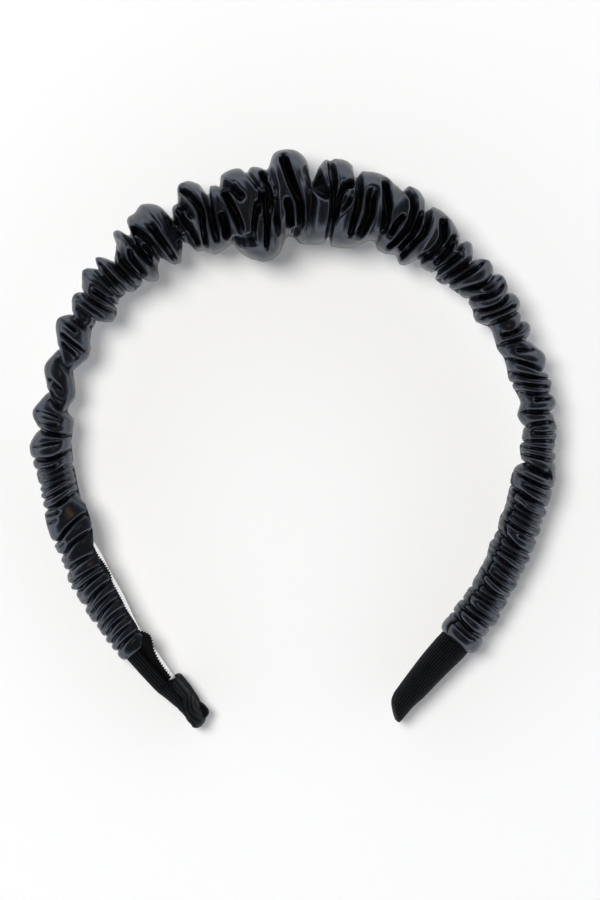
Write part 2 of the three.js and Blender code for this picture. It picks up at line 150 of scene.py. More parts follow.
# The ridges beside a pocket are rounded this far beyond its shoulders.
POCKET_ROUND = 1.5
POCKET_PILLOW = 0.25
MOST_ROUNDING = 5.0
# The rolled edge along a pocket, whole from a depth on, and run out where another pocket is deep.
LIP_HEIGHT = 0.45
LIP_WIDTH = 0.6
LIP_OFFSET = 0.1
LIP_FULL_DEPTH = 4
LIP_ENDS = (0.3, 1.5)
# The legs' valleys: along the arch on the outside, on top and on the inside, the angles between which
# they are open on top, shoulder and depth.
LEG_VALLEYS = np.array([
    (-166.4, -165.9, -165.2, 0, 180, 0.9, 1.3), (-163.9, -163.3, -162.3, 0, 180, 0.8, 1.2),
    (-161.5, -160.8, -159.5, 0, 180, 0.9, 1.3), (-159.4, -158.7, -157.2, 20, 180, 0.7, 1.0),
    (-157.2, -156.1, -154.3, 0, 180, 0.9, 1.5), (-154.6, -153.7, -152.0, 15, 180, 0.8, 1.2),
    (-151.6, -151.2, -149.0, 0, 180, 1.0, 1.9), (-149.3, -148.8, -147.8, 25, 75, 0.6, 0.7),
    (-146.8, -146.8, -145.7, 0, 180, 1.0, 1.9), (-144.6, -144.5, -143.7, 0, 180, 0.9, 1.5),
    (-142.9, -142.6, -141.9, 20, 80, 0.6, 0.8), (-141.1, -140.7, -139.8, 0, 180, 0.9, 1.6),
    (-139.0, -138.5, -137.4, 12, 70, 0.6, 0.8), (-136.7, -136.3, -133.2, 0, 180, 1.1, 2.1),
    (-134.7, -134.2, -131.8, 15, 100, 0.7, 0.9), (-133.0, -132.3, -127.9, 0, 180, 1.2, 2.2),
    (-127.7, -127.3, -125.9, 45, 95, 0.6, 1.0), (-125.5, -125.5, -124.2, 30, 105, 0.8, 1.3),
    (-123.9, -123.6, -120.9, 0, 180, 1.1, 2.0), (-121.2, -120.4, -118.5, 0, 180, 0.9, 1.5),
    (-119.2, -118.2, -116.3, 0, 180, 0.8, 1.3), (-117.4, -116.4, -114.6, 0, 180, 0.9, 1.5),
    (-115.4, -114.6, -112.8, 15, 180, 0.8, 1.4), (-113.2, -113.0, -111.0, 0, 110, 0.8, 1.4),
    (-110.2, -110.8, -108.6, 0, 180, 1.0, 2.0), (-107.6, -106.6, -106.0, 40, 120, 1.4, 0.8),
    (-102.6, -104.0, -104.3, 0, 180, 1.0, 1.8), (-100.6, -101.2, -101.6, 30, 110, 1.2, 1.0),
    (-97.8, -98.8, -100.2, 35, 115, 1.2, 1.0), (-92.5, -95.6, -97.3, 0, 180, 1.3, 1.6),
    (-90.8, -93.6, -95.2, 60, 130, 1.0, 1.0), (-88.6, -90.6, -92.6, 40, 110, 1.4, 0.9),
    (-80.6, -84.2, -85.8, 0, 180, 1.5, 1.6), (-78.4, -79.6, -82.2, 55, 130, 1.3, 1.0),
    (-76.2, -77.6, -79.0, 50, 140, 1.0, 1.4), (-73.4, -74.4, -75.4, 20, 100, 1.2, 1.2),
    (-70.8, -72.2, -71.4, 0, 180, 1.1, 2.2), (-68.2, -68.6, -69.2, 50, 180, 1.3, 2.2),
    (-66.2, -66.8, -67.2, 25, 140, 1.0, 1.8), (-64.4, -65.3, -64.0, 0, 180, 1.0, 2.4),
    (-62.6, -62.3, -62.2, 70, 180, 1.8, 3.0), (-60.4, -60.2, -60.4, 25, 130, 1.0, 1.6),
    (-57.3, -58.4, -59.2, 0, 180, 1.1, 3.0), (-55.6, -56.4, -57.0, 30, 180, 1.0, 2.2),
    (-53.0, -53.8, -54.0, 0, 180, 1.1, 2.8), (-50.4, -51.2, -50.8, 20, 180, 1.0, 2.4),
    (52.4, 51.8, 49.6, 0, 180, 1.2, 2.8), (54.8, 54.4, 52.4, 25, 180, 1.1, 2.2),
    (58.8, 59.2, 55.4, 0, 180, 1.1, 2.6), (60.6, 60.8, 57.4, 30, 100, 0.9, 1.8),
    (62.4, 62.8, 59.6, 20, 180, 1.3, 2.6), (64.8, 66.4, 63.6, 0, 180, 1.3, 2.6),
    (68.4, 68.2, 66.2, 45, 150, 1.0, 1.8), (70.4, 70.1, 69.4, 0, 180, 1.0, 2.0),
    (73.0, 75.0, 73.0, 0, 130, 1.5, 2.2), (78.0, 76.9, 76.4, 0, 180, 1.1, 2.2),
    (81.8, 80.2, 78.8, 40, 110, 1.5, 0.8), (87.4, 84.4, 80.8, 0, 180, 1.4, 2.2),
    (89.6, 88.0, 84.8, 0, 180, 1.0, 2.0), (91.6, 90.4, 88.2, 25, 180, 0.9, 1.8),
    (93.4, 92.9, 91.0, 0, 180, 0.9, 2.0), (95.0, 94.4, 94.4, 40, 100, 0.9, 1.6),
    (98.2, 97.9, 97.0, 0, 150, 1.0, 1.8), (101.0, 101.0, 101.6, 30, 180, 1.1, 1.4),
    (103.6, 103.8, 103.2, 0, 120, 0.9, 1.8), (105.8, 105.8, 106.2, 20, 180, 1.0, 1.8),
    (108.4, 108.2, 107.6, 0, 180, 1.1, 1.8), (111.0, 110.4, 110.0, 0, 180, 1.0, 1.8),
    (115.0, 114.4, 112.2, 45, 180, 2.0, 2.8), (118.0, 117.6, 115.4, 0, 180, 0.9, 1.8),
    (120.8, 119.6, 118.2, 20, 110, 0.7, 1.2), (123.2, 122.4, 120.0, 0, 180, 1.4, 2.4),
    (124.4, 123.9, 122.0, 25, 100, 0.6, 1.0), (126.2, 125.6, 123.6, 0, 180, 0.9, 2.0),
    (128.2, 127.3, 125.4, 0, 180, 0.9, 1.8), (130.0, 129.0, 127.6, 20, 140, 0.8, 1.6),
    (131.8, 131.2, 129.2, 0, 180, 1.0, 2.2), (133.0, 132.8, 131.4, 15, 95, 0.6, 1.1),
    (136.4, 135.9, 133.2, 0, 180, 1.1, 2.2), (137.6, 137.7, 136.0, 30, 180, 0.7, 1.5),
    (139.4, 138.8, 138.2, 0, 180, 0.8, 1.8), (142.2, 141.2, 139.9, 0, 180, 0.8, 1.8),
    (144.0, 143.2, 141.8, 0, 180, 0.8, 1.6), (145.2, 145.6, 144.2, 30, 120, 0.7, 1.2),
    (147.6, 147.2, 145.6, 0, 180, 0.9, 1.9), (149.6, 149.9, 148.0, 0, 180, 0.9, 2.0),
    (151.0, 151.8, 151.4, 25, 180, 0.7, 1.5), (153.7, 153.2, 152.8, 0, 180, 0.9, 1.8),
    (154.8, 154.8, 154.4, 20, 110, 0.6, 1.2), (156.4, 156.8, 156.0, 10, 180, 0.7, 1.6),
    (158.6, 158.4, 158.0, 0, 180, 1.0, 2.1), (161.8, 162.2, 160.6, 0, 180, 0.9, 2.0),
    (163.2, 163.8, 162.8, 60, 140, 0.7, 0.9),
])
LEG_DEPTH = 1.75
# On the underside a leg's valley wanders along the arch, and opens and closes between these angles.
UNDER_WANDER = 0.5
UNDER_START, UNDER_END = (35, 95), (80, 180)
# The seam runs along the inside, and on the lower right leg it comes up on top.
SEAM_TURN = 45
SEAM_WAVE = 5
# Its ripples: share of the wave, rate along the arch, shift.
SEAM_RIPPLES = ((1.0, 1.1, 0), (0.7, 0.47, 1))
SEAM_TURN_FROM, SEAM_TURN_TO = 112.0, 126.0
# A slit's floor as a share of its shoulder, and its walls' roundness.
SLIT_FLOOR = 0.1
PILLOW = 0.45
WALL_POWER = 4
EDGE_DEPTH_SHARE = 0.3
# The outline of the crown and upper legs: along the arch, and the cloth's reach outward or inward there.
CROWN_OUTER = np.array([
    (-107.0, 6.75), (-102.4, 4.4), (-98.7, 6.3), (-92.2, 3.0), (-86.0, 5.1), (-81.0, 3.1), (-73.9, 6.3),
    (-70.5, 3.75), (-66.8, 5.7), (-64.3, 4.8), (-59.5, 7.6), (-56.9, 5.4), (-55.4, 7.1), (-52.4, 3.1),
    (-49.8, 5.0), (-48.9, 6.6), (-48.4, 8.2), (-47.4, 8.5), (-46.4, 7.4), (-45.4, 5.6), (-44.6, 6.8),
    (-43.4, 8.8), (-42.0, 9.7), (-40.0, 10.0), (-38.0, 9.6), (-36.0, 8.2), (-35.0, 7.0), (-34.3, 5.0),
    (-33.9, 3.2), (-33.2, 3.8), (-32.6, 4.8), (-31.5, 5.5), (-30.4, 5.2), (-29.9, 7.4), (-29.3, 9.2),
    (-28.0, 10.2), (-26.5, 10.2), (-25.0, 9.3), (-23.5, 7.6), (-22.5, 6.2), (-21.5, 6.7), (-20.5, 6.5),
    (-19.5, 6.2), (-18.9, 7.6), (-18.2, 8.6), (-16.5, 9.5), (-14.5, 9.8), (-13.0, 9.4), (-11.8, 8.9),
    (-10.2, 9.5), (-8.2, 9.0), (-6.8, 8.2), (-6.1, 8.4), (-5.7, 10.8), (-5.0, 12.5), (-3.5, 13.4),
    (-1.5, 13.7), (0.0, 13.5), (1.8, 12.4), (3.2, 10.5), (4.0, 8.4), (4.4, 6.6), (5.3, 7.2), (6.3, 9.2),
    (7.0, 10.7), (8.2, 11.5), (11.8, 12.0), (13.2, 11.6), (14.6, 10.4), (15.5, 9.2), (16.2, 9.6),
    (18.0, 10.2), (20.5, 10.6), (22.5, 10.4), (25.0, 9.3), (26.6, 8.7), (27.8, 9.6), (29.5, 10.4),
    (31.0, 10.3), (32.5, 9.5), (34.0, 8.2), (34.8, 7.5), (36.0, 8.1), (38.0, 8.4), (41.0, 8.0),
    (43.5, 7.0), (45.5, 5.9), (46.8, 4.6), (47.5, 5.8), (49.0, 6.3), (52.0, 4.2), (55.8, 6.5),
    (58.5, 5.6), (61.0, 6.6), (64.5, 5.6), (67.8, 6.3), (72.0, 4.2), (75.0, 5.4), (78.5, 3.3),
    (84.0, 6.0), (87.3, 4.6), (90.0, 5.7), (92.5, 4.8), (96.5, 5.7), (98.0, 4.2), (104.0, 5.3),
    (106.0, 4.4), (109.0, 5.0),
])
CROWN_INNER = np.array([
    (-111.0, 5.0), (-105.8, 5.0), (-99.9, 5.6), (-96.8, 3.5), (-92.4, 5.1), (-87.4, 3.75), (-85.4, 2.9),
    (-82.8, 4.6), (-79.5, 6.0), (-74.9, 4.6), (-71.6, 3.5), (-69.9, 3.75), (-66.6, 7.6), (-62.0, 6.5),
    (-59.7, 5.4), (-54.5, 7.3), (-51.2, 7.4), (-49.0, 9.0), (-47.5, 9.6), (-46.0, 9.0), (-45.3, 7.6),
    (-44.6, 6.7), (-43.5, 5.9), (-42.0, 6.0), (-41.3, 6.3), (-40.8, 7.6), (-40.0, 8.8), (-39.0, 9.4),
    (-37.8, 9.4), (-36.8, 8.4), (-36.0, 7.2), (-35.0, 6.2), (-33.6, 5.2), (-33.0, 6.4), (-32.0, 8.2),
    (-30.8, 9.0), (-29.3, 9.2), (-28.7, 9.6), (-27.5, 10.8), (-26.0, 11.4), (-24.0, 11.3), (-22.0, 10.8),
    (-20.0, 10.2), (-19.2, 10.5), (-18.6, 12.0), (-17.5, 13.4), (-15.5, 14.9), (-13.0, 16.0),
    (-10.5, 16.7), (-8.0, 16.5), (-5.5, 15.4), (-4.0, 14.0), (-3.2, 12.0), (-2.4, 10.6), (-1.6, 10.2),
    (0.0, 10.4), (0.8, 11.0), (2.5, 12.2), (5.0, 12.3), (7.5, 12.0), (9.8, 11.5), (10.8, 11.0),
    (11.8, 11.6), (13.5, 12.0), (15.5, 11.9), (18.0, 11.4), (20.0, 10.8), (21.5, 10.0), (23.5, 8.3),
    (25.0, 7.4), (26.2, 7.4), (26.9, 8.7), (28.0, 9.4), (29.5, 9.4), (31.5, 9.0), (33.0, 8.5),
    (33.8, 8.4), (34.8, 9.4), (36.0, 10.0), (37.5, 9.8), (39.0, 8.2), (40.2, 6.4), (41.0, 6.5),
    (42.0, 7.4), (44.0, 7.4), (46.0, 6.8), (47.0, 6.7), (48.0, 7.5), (49.0, 7.7), (55.0, 6.3),
    (59.0, 5.8), (62.0, 5.7), (66.0, 7.2), (70.5, 4.8), (74.0, 5.3), (77.5, 5.8), (80.5, 5.1),
    (83.0, 5.3), (87.0, 5.8), (91.0, 4.8), (94.0, 4.2), (98.3, 5.6), (101.5, 4.3), (103.0, 4.4),
    (108.0, 5.2), (112.0, 4.6),
])
MOST_OUTER_RISE, MOST_INNER_RISE = 12.5, 11.0
SLEEVE_FROM = -169.6
SLEEVE_TO = 167.2
CROWN_POWER, LEG_POWER = 2.5, 2.1
CROWN_TO_LEG = (48.0, 62.0)
RISE_SHARE = 1.12
SEAM_HALF_GAP = 0.35
SEAM_OPEN_HALF_GAP = 4.2
# Along the open seam the cloth laps over the band's top.
PETAL_REACH = 3.0
PETAL_EASE = 6.0
PETAL_END_UP = 3.4
SEAM_OPEN_FROM = -171.0
SEAM_OPEN_TO = -128.0
SEAM_EASE = 8.0


def smoothstep(x, low, high):
    t = np.clip((x - low) / (high - low), 0, 1)
    return t * t * (3 - 2 * t)


def smooth_run(p, count):
    """A smooth curve through all but the first and last of the points p, with count steps between two."""
    t = np.linspace(0, 1, count, endpoint=False)[:, None]
    curve = []
    for a, b, c, d in zip(p[:-3], p[1:-2], p[2:-1], p[3:]):
        curve.append(0.5 * (2 * b + (c - a) * t + (2 * a - 5 * b + 4 * c - d) * t ** 2
                            + (3 * b - a - 3 * c + d) * t ** 3))
    return np.concatenate(curve)


class Arch:
    """The arch as a smooth curve through its stations, by length from the crown."""

    def __init__(self):
        turn = np.radians(ARCH[:, 0])
        points = np.stack([HEAD_CENTRE[0] + ARCH[:, 1] * np.sin(turn),
                           HEAD_CENTRE[1] + ARCH[:, 1] * np.cos(turn)], 1)
        ends = [2 * points[0] - points[1]], [2 * points[-1] - points[-2]]
        p = np.concatenate([ends[0], points, ends[1]])
        self.points = np.concatenate([smooth_run(p, ARCH_STEPS), points[-1:]])
        length = np.concatenate([[0], np.cumsum(np.linalg.norm(np.diff(self.points, axis=0), axis=1))])
        crown = int(np.argmin(np.abs(ARCH[:, 0]))) * ARCH_STEPS
        self.along = length - length[crown]
        self.tangents = np.gradient(self.points, self.along, axis=0)
        self.crown_y = self.points[crown, 1]
        self.tip_y = points[0, 1]

    def at(self, along):
        inside = np.clip(along, self.along[0], self.along[-1])
        x, y = (np.interp(inside, self.along, self.points[:, k]) for k in (0, 1))
        tx, ty = (np.interp(inside, self.along, self.tangents[:, k]) for k in (0, 1))
        size = np.hypot(tx, ty)
        tx, ty = tx / size, ty / size
        return x + (along - inside) * tx, y + (along - inside) * ty, tx, ty, y

    def axis_height(self, along):
        y = self.at(along)[4]
        share = (y - self.tip_y) / (self.crown_y - self.tip_y)
        tip = np.where(along < 0, AXIS_HEIGHT_LEFT_TIP, AXIS_HEIGHT_RIGHT_TIP)
        return tip + (AXIS_HEIGHT_CROWN - tip) * share


ARC = Arch()


def run(column, along):
    """A column of the band's run, eased between its rows."""
    rows = BAND_RUN
    k = np.clip(np.searchsorted(rows[:, 0], along, "right") - 1, 0, len(rows) - 2)
    share = smoothstep(along, rows[k, 0], rows[k + 1, 0])
    return rows[k, column] + (rows[k + 1, column] - rows[k, column]) * share


def place(along, outward, up):
    """Points given along the arch, outward of its axis and up from it, in the row frame in metres."""
    x, y, tx, ty, _ = ARC.at(along)
    turn = np.radians(run(2, along))
    n = outward * np.cos(turn) + up * np.sin(turn)
    z = up * np.cos(turn) - outward * np.sin(turn)
    return np.stack([x - ty * n, y + tx * n, ARC.axis_height(along) + z], -1) * MM


def seam_half_gap(along):
    opened = smoothstep(along, SEAM_OPEN_FROM - SEAM_EASE / 2, SEAM_OPEN_FROM)
    opened = opened * (1 - smoothstep(along, SEAM_OPEN_TO, SEAM_OPEN_TO + SEAM_EASE))
    return SEAM_HALF_GAP + (SEAM_OPEN_HALF_GAP - SEAM_HALF_GAP) * opened


def height_share(c, s, along):
    """How high the section stands where its reach is c: rounder along the legs than at the crown."""
    power = CROWN_POWER + (LEG_POWER - CROWN_POWER) * smoothstep(np.abs(along), *CROWN_TO_LEG)
    return np.sign(s) * np.maximum(0, 1 - np.abs(c) ** power) ** (1 / power)


# Points round the sleeve, how many of them lie above the outline, and how the edges tuck in at the seam.
AROUND = 106
AROUND_TOP = 68
TUCK_FROM = 0.9
TUCK_DEPTH = 2.6
TUCK_RISE = 4.2
TUCKED_ROWS = 7
MOST_GAP_SHARE = 0.98
# No valley cuts deeper than this: outward, inward and up.
VALLEY_OUTER, VALLEY_INNER, VALLEY_RISE = 2.0, 2.7, 3.7
# Columns along the sleeve: between two valleys they crowd to the valleys.
LEAST_SPACING = 0.55
WIDE_GAP = 9
COLUMNS_PER_MM = 2.2
PUFF_COLUMNS = (4, 22)
CROWDING = 0.72
CROWN_LENGTH = 60
FLOOR_SHARES = (0.04, 0.5)
# Degrees over which a valley opens and closes round the sleeve.
SIDE_EASE = 8
# The sleeve's ends: how far they round off, and their reach outward, inward and up.
END_SHOULDERS = (1.6, 2.6)
END_MARGIN = 0.2
END_REACH_LEFT = (3.7, 3.6, 4.7)
END_REACH_RIGHT = (4.6, 4.8, 4.9)
# The outlines lie on a ruler that runs past the sleeve, and their corners are rounded.
RULER_STEP = 0.1
RULER_PAST = 4
OUTLINE_SOFTNESS = 0.4
OUTLINE_MARGIN = 1.5


def through(x, rows):
    """A smooth curve through the rows that makes no bumps of its own."""
    xs, ys = rows[:, 0], rows[:, 1]
    slope = np.diff(ys) / np.diff(xs)
    flat = slope[:-1] * slope[1:] <= 0
    inner = np.where(flat, 0, 2 * slope[:-1] * slope[1:] / np.where(flat, 1, slope[:-1] + slope[1:]))
    m = np.concatenate([slope[:1], inner, slope[-1:]])
    k = np.clip(np.searchsorted(xs, x, "right") - 1, 0, len(xs) - 2)
    width = xs[k + 1] - xs[k]
    q = np.clip((x - xs[k]) / width, 0, 1)
    h = q * q * (3 - 2 * q)
    return ys[k] + (ys[k + 1] - ys[k]) * h + width * q * (1 - q) * ((1 - q) * m[k] - q * m[k + 1])


def outline(crown, at_column, reach_column):
    """The crown's outline joined to the legs' puffs."""
    legs = GATHERS[:, [at_column, reach_column]]
    before = legs[:, 0] < crown[0, 0] - OUTLINE_MARGIN
    after = legs[:, 0] > crown[-1, 0] + OUTLINE_MARGIN
    rows = np.concatenate([legs[before | after], crown])
    return rows[np.argsort(rows[:, 0])]


def softened(rows):
    """The outline on a fine ruler with its corners rounded."""
    ruler = np.arange(SLEEVE_FROM - RULER_PAST, SLEEVE_TO + RULER_PAST, RULER_STEP)
    count = int(4 * OUTLINE_SOFTNESS / RULER_STEP)
    weight = np.exp(-0.5 * (np.arange(-count, count + 1) * RULER_STEP / OUTLINE_SOFTNESS) ** 2)
    reach = np.pad(through(ruler, rows), count, mode="edge")
    return ruler, np.convolve(reach, weight / weight.sum(), "valid")


OUTER_LINE = softened(outline(CROWN_OUTER, 0, 2))
INNER_LINE = softened(outline(CROWN_INNER, 1, 3))


def valley_lines(rng):
    """All valleys in order: places outside, on top, inside and below, open angles, shoulder and depth."""
    lines = []
    for outer, top, inner, start, end, shoulder, depth in LEG_VALLEYS:
        under = (outer + inner) / 2 + rng.normal(0, UNDER_WANDER)
        opening = (0, rng.uniform(*UNDER_END)) if start == 0 else (rng.uniform(*UNDER_START), 180)
        lines.append((outer, top, inner, under, start, end, *opening, shoulder, LEG_DEPTH * depth))
    for outer, top, inner in CROWN_EDGES:
        lines.append((outer, top, inner, (outer + inner) / 2, 90, 0, 90, 0, 1, 0))
    return np.array(sorted(lines, key=lambda line: line[0] + line[2]))


def carving(x):
    """How far down a valley's wall goes: 0 on the ridge, 1 on the valley's floor."""
    return PILLOW * x ** 2 + (1 - PILLOW) * (1 - np.sqrt(1 - x ** WALL_POWER))


def pocket_depth(along, n, pockets):
    """How deep the pockets are at each place seen from the front, less the rolled edges beside them."""
    deepest, rounding, lips = np.zeros_like(along), np.zeros_like(along), np.zeros_like(along)
    for half, shoulder, depth, line in pockets:
        line = np.array(line)
        half = POCKET_HALF * half
        reach = half + POCKET_SHOULDER * shoulder
        round_reach = reach + POCKET_ROUND
        near = (along > line[:, 0].min() - round_reach) & (along < line[:, 0].max() + round_reach)
        x, y = along[near], n[near]
        distance = np.full_like(x, round_reach)
        for (x0, y0), (x1, y1) in zip(line[:-1], line[1:]):
            dx, dy = x1 - x0, y1 - y0
            t = np.clip(((x - x0) * dx + (y - y0) * dy) / (dx * dx + dy * dy), 0, 1)
            distance = np.minimum(distance, np.hypot(x - x0 - t * dx, y - y0 - t * dy))
        deepest[near] = np.maximum(deepest[near], depth * smoothstep(-distance, -reach, -half))
        rounding[near] += depth * np.clip(1 - distance / round_reach, 0, 1) ** 2
        lip = np.exp(-((distance - reach - LIP_OFFSET) / LIP_WIDTH) ** 2)
        lips[near] = np.maximum(lips[near], lip * np.minimum(1, depth / LIP_FULL_DEPTH))
    lips *= 1 - smoothstep(deepest, *LIP_ENDS)
    rounded = POCKET_PILLOW * np.minimum(rounding, MOST_ROUNDING)
    return POCKET_DEPTH_SHARE * deepest + rounded - LIP_HEIGHT * lips


def under_pockets(rng):
    """Plain slits across the crown's underside."""
    pockets = []
    first, last = CROWN_EDGES[0][0] + UNDER_MARGIN, CROWN_EDGES[1][0] - UNDER_MARGIN
    for along in np.arange(first, last, UNDER_SPACING):
        here = along + rng.uniform(-UNDER_SHIFT, UNDER_SHIFT)
        outer_end = (here + rng.uniform(-1, 1), rng.uniform(*UNDER_REACH))
        inner_end = (here + rng.uniform(-1, 1), -rng.uniform(*UNDER_REACH))
        pockets.append((*UNDER_SLIT, (outer_end, (here, 0.0), inner_end)))
    return pockets


def seam_turn(along):
    """How far the seam is turned round the sleeve, in radians."""
    wave = SEAM_WAVE * sum(share * np.sin(rate * along + shift) for share, rate, shift in SEAM_RIPPLES)
    return np.radians(SEAM_TURN + wave) * smoothstep(along, SEAM_TURN_FROM, SEAM_TURN_TO)


def open_share(turned, start, end):
    """How open a valley is at an angle: closed before its start and past its end."""
    started = np.where(start > 0, smoothstep(turned, start - SIDE_EASE, start + SIDE_EASE), 1.0)
    ended = np.where(end < 180, smoothstep(turned, end - SIDE_EASE, end + SIDE_EASE), 0.0)
    return started * (1 - ended)


def gathered_start():
    """The sleeve as puffs cut by valleys and pockets, in the straightened space: along, outward, up."""
    rng = np.random.RandomState(SEED)
    lines = valley_lines(rng)
    outer_at, top_at, inner_at, under_at = lines[:, :4].T
    shoulder, deep = lines[:, 8], lines[:, 9]
    # Angles round the section, from one side of the seam to the other; the seam's side is at +-180 degrees.
    share = np.concatenate([np.linspace(1, 0, AROUND_TOP + 1), np.linspace(0, -1, AROUND - AROUND_TOP)[1:]])
    tuck = np.clip((np.abs(share) - TUCK_FROM) / (1 - TUCK_FROM), 0, 1)
    share = np.clip(share / TUCK_FROM, -1, 1)
    angle = math.pi * share[None] - seam_turn(lines[:, 1:2])
    angle = (angle + math.pi) % (2 * math.pi) - math.pi
    turned = np.degrees(np.abs(angle))
    c = np.cos(angle)
    above = angle > 0
    middle_at = np.where(above, top_at[:, None], under_at[:, None])
    lean = (outer_at - inner_at)[:, None] / 2
    bow = (outer_at + inner_at)[:, None] / 2 - middle_at
    at = middle_at + lean * c + bow * c ** 2
    is_open = np.where(above, open_share(turned, lines[:, 4:5], lines[:, 5:6]),
                       open_share(turned, lines[:, 6:7], lines[:, 7:8]))
    ends = np.full((1, AROUND), SLEEVE_FROM), np.full((1, AROUND), SLEEVE_TO)
    at = np.concatenate([ends[0], at, ends[1]])
    for k in range(1, len(at) - 1):
        at[k] = np.maximum(at[k], at[k - 1] + LEAST_SPACING)
    for k in range(len(at) - 2, 0, -1):
        at[k] = np.minimum(at[k], at[k + 1] - LEAST_SPACING)
    one = np.ones((1, AROUND))
    is_open = np.concatenate([one, is_open, one])
    shoulder = np.concatenate([END_SHOULDERS[:1], shoulder, END_SHOULDERS[1:]])
    deep = np.concatenate([[0], deep, [0]])
    gap = np.diff(at, axis=0)
    # A shoulder takes at most half of the way to an open neighbour.
    before = np.pad(gap, ((1, 0), (0, 0)), constant_values=WIDE_GAP)
    after = np.pad(gap, ((0, 1), (0, 0)), constant_values=WIDE_GAP)
    open_before = np.pad(is_open, ((1, 0), (0, 0)))[:-1]
    open_after = np.pad(is_open, ((0, 1), (0, 0)))[1:]
    full = shoulder[:, None]
    left = full + (np.minimum(full, before / 2) - full) * open_before
    right = full + (np.minimum(full, after / 2) - full) * open_after

    def envelope(along):
        outer, inner = np.interp(along, *OUTER_LINE), np.interp(along, *INNER_LINE)
        rise = RISE_SHARE * (np.minimum(outer, MOST_OUTER_RISE) + np.minimum(inner, MOST_INNER_RISE)) / 2
        return outer, inner, rise

    floor_width = SLIT_FLOOR * full * np.pad(np.abs(np.sin(angle)) ** 2, ((1, 1), (0, 0)))
    columns = []
    for k in range(len(at) - 1):
        is_crown = gap[k].min() > CROWN_LENGTH
        steps = int(np.clip(round(gap[k].mean() * COLUMNS_PER_MM), *PUFF_COLUMNS))
        if is_crown:
            steps = CROWN_COLUMNS
        q = np.arange(steps + (k == len(at) - 2))[:, None] / steps
        x = q if is_crown else q - CROWDING * np.sin(2 * math.pi * q) / (2 * math.pi)
        along = at[k] + gap[k] * x
        carved = np.zeros_like(along)
        depth = np.zeros_like(along)
        for j in range(max(0, k - 2), min(len(at), k + 4)):
            way = along - at[j]
            t = np.where(way < 0, -way / left[j], way / right[j])
            wide = np.clip(floor_width[j] / full[j], *FLOOR_SHARES)
            x = 1 - np.clip((t - wide) / (1 - wide), 0, 1)
            cut = is_open[j] * carving(x)
            depth = np.where(cut > carved, deep[j], depth)
            carved = np.maximum(carved, cut)
        columns.append(np.stack([along, carved, depth], -1))
    along, carved, depth = np.moveaxis(np.concatenate(columns), -1, 0)
    outer, inner, rise = envelope(along)
    turn = math.pi * share[None] - seam_turn(along)
    plan = np.where(np.cos(turn) > 0, outer, inner) * np.cos(turn)
    above = share[None] >= 0
    on_top = pocket_depth(along, plan, CROWN_POCKETS)
    below = pocket_depth(along, plan, under_pockets(rng))
    # Below the outline the top's pockets run out, and the underside's slits begin.
    way_down = np.abs(np.sin(turn))
    outer_rim, inner_rim = (on_top[:, row:row + 1] for row in (AROUND_TOP, TUCKED_ROWS))
    rim = np.where(np.cos(turn) > 0, outer_rim, inner_rim)
    below = rim * (1 - smoothstep(way_down, *RIM_ENDS)) + below * smoothstep(way_down, *UNDER_BEGINS)
    amount = depth * carved * (EDGE_DEPTH_SHARE + (1 - EDGE_DEPTH_SHARE) * way_down)
    near_left_end = along < SLEEVE_FROM + END_SHOULDERS[0] + END_MARGIN
    near_right_end = along > SLEEVE_TO - END_SHOULDERS[1] - END_MARGIN

    def lowered(reach, least, column):
        low = np.maximum(np.minimum(reach, least), reach - amount)
        low = np.where(near_left_end, reach + (END_REACH_LEFT[column] - reach) * carved, low)
        return np.where(near_right_end, reach + (END_REACH_RIGHT[column] - reach) * carved, low)

    outer = lowered(outer, VALLEY_OUTER, 0)
    inner = lowered(inner, VALLEY_INNER, 1)
    rise = lowered(rise, VALLEY_RISE, 2)
    # Pockets go down and lean in towards the band.
    pocket = np.where(above, on_top, below)
    rise = np.maximum(np.minimum(rise, VALLEY_RISE), rise - pocket)
    leaning = POCKET_LEAN * pocket * (POCKET_EDGE_SHARE + (1 - POCKET_EDGE_SHARE) * way_down)
    outer = np.maximum(np.minimum(outer, VALLEY_OUTER), outer - leaning)
    inner = np.maximum(np.minimum(inner, VALLEY_INNER), inner - leaning)
    half_gap = seam_half_gap(along)
    opened = smoothstep(half_gap, SEAM_HALF_GAP, SEAM_OPEN_HALF_GAP)
    upper = share[None] > 0
    inner = inner + PETAL_REACH * opened * upper * smoothstep(along, SLEEVE_FROM, SLEEVE_FROM + PETAL_EASE)
    half_gap = half_gap + (PETAL_END_UP - SEAM_OPEN_HALF_GAP) * opened * upper
    first = math.pi - np.arcsin(np.minimum(MOST_GAP_SHARE, half_gap / rise))
    turn = first * share[None] - seam_turn(along)
    c, s = np.cos(turn), np.sin(turn)
    n = np.where(c > 0, outer, inner) * c
    up = rise * height_share(c, s, along)
    cloth = np.stack([along, n, up], -1)
    # Where the seam is closed, the edges turn in to the band's inside face.
    tucked = tuck[None] * (1 - opened)
    cloth[..., 1] += (run(1, along) + TUCK_DEPTH * c - cloth[..., 1]) * tucked
    cloth[..., 2] += (TUCK_RISE * s - cloth[..., 2]) * tucked
    return cloth.astype(np.float32)


START = gathered_start()

CLOTH_STEPS = 8
CROWN_EASE, LEG_EASE = 0.4, 0.12
CROWN_EASE_ENDS = (48, 56)
# The cloth's clearances from the band, more on the ribbon ends, and from the lining and the floor.
ON_LEFT_RIBBON, ON_RIGHT_RIBBON = (165.5, 167.5), (162, 164)
CLEAR_N, CLEAR_Z = 0.55, 0.45
RIBBON_CLEAR_N, RIBBON_CLEAR_Z = 2.3, 1.4
LINING_CLEAR = 0.9
FLOOR_CLEAR = 0.25


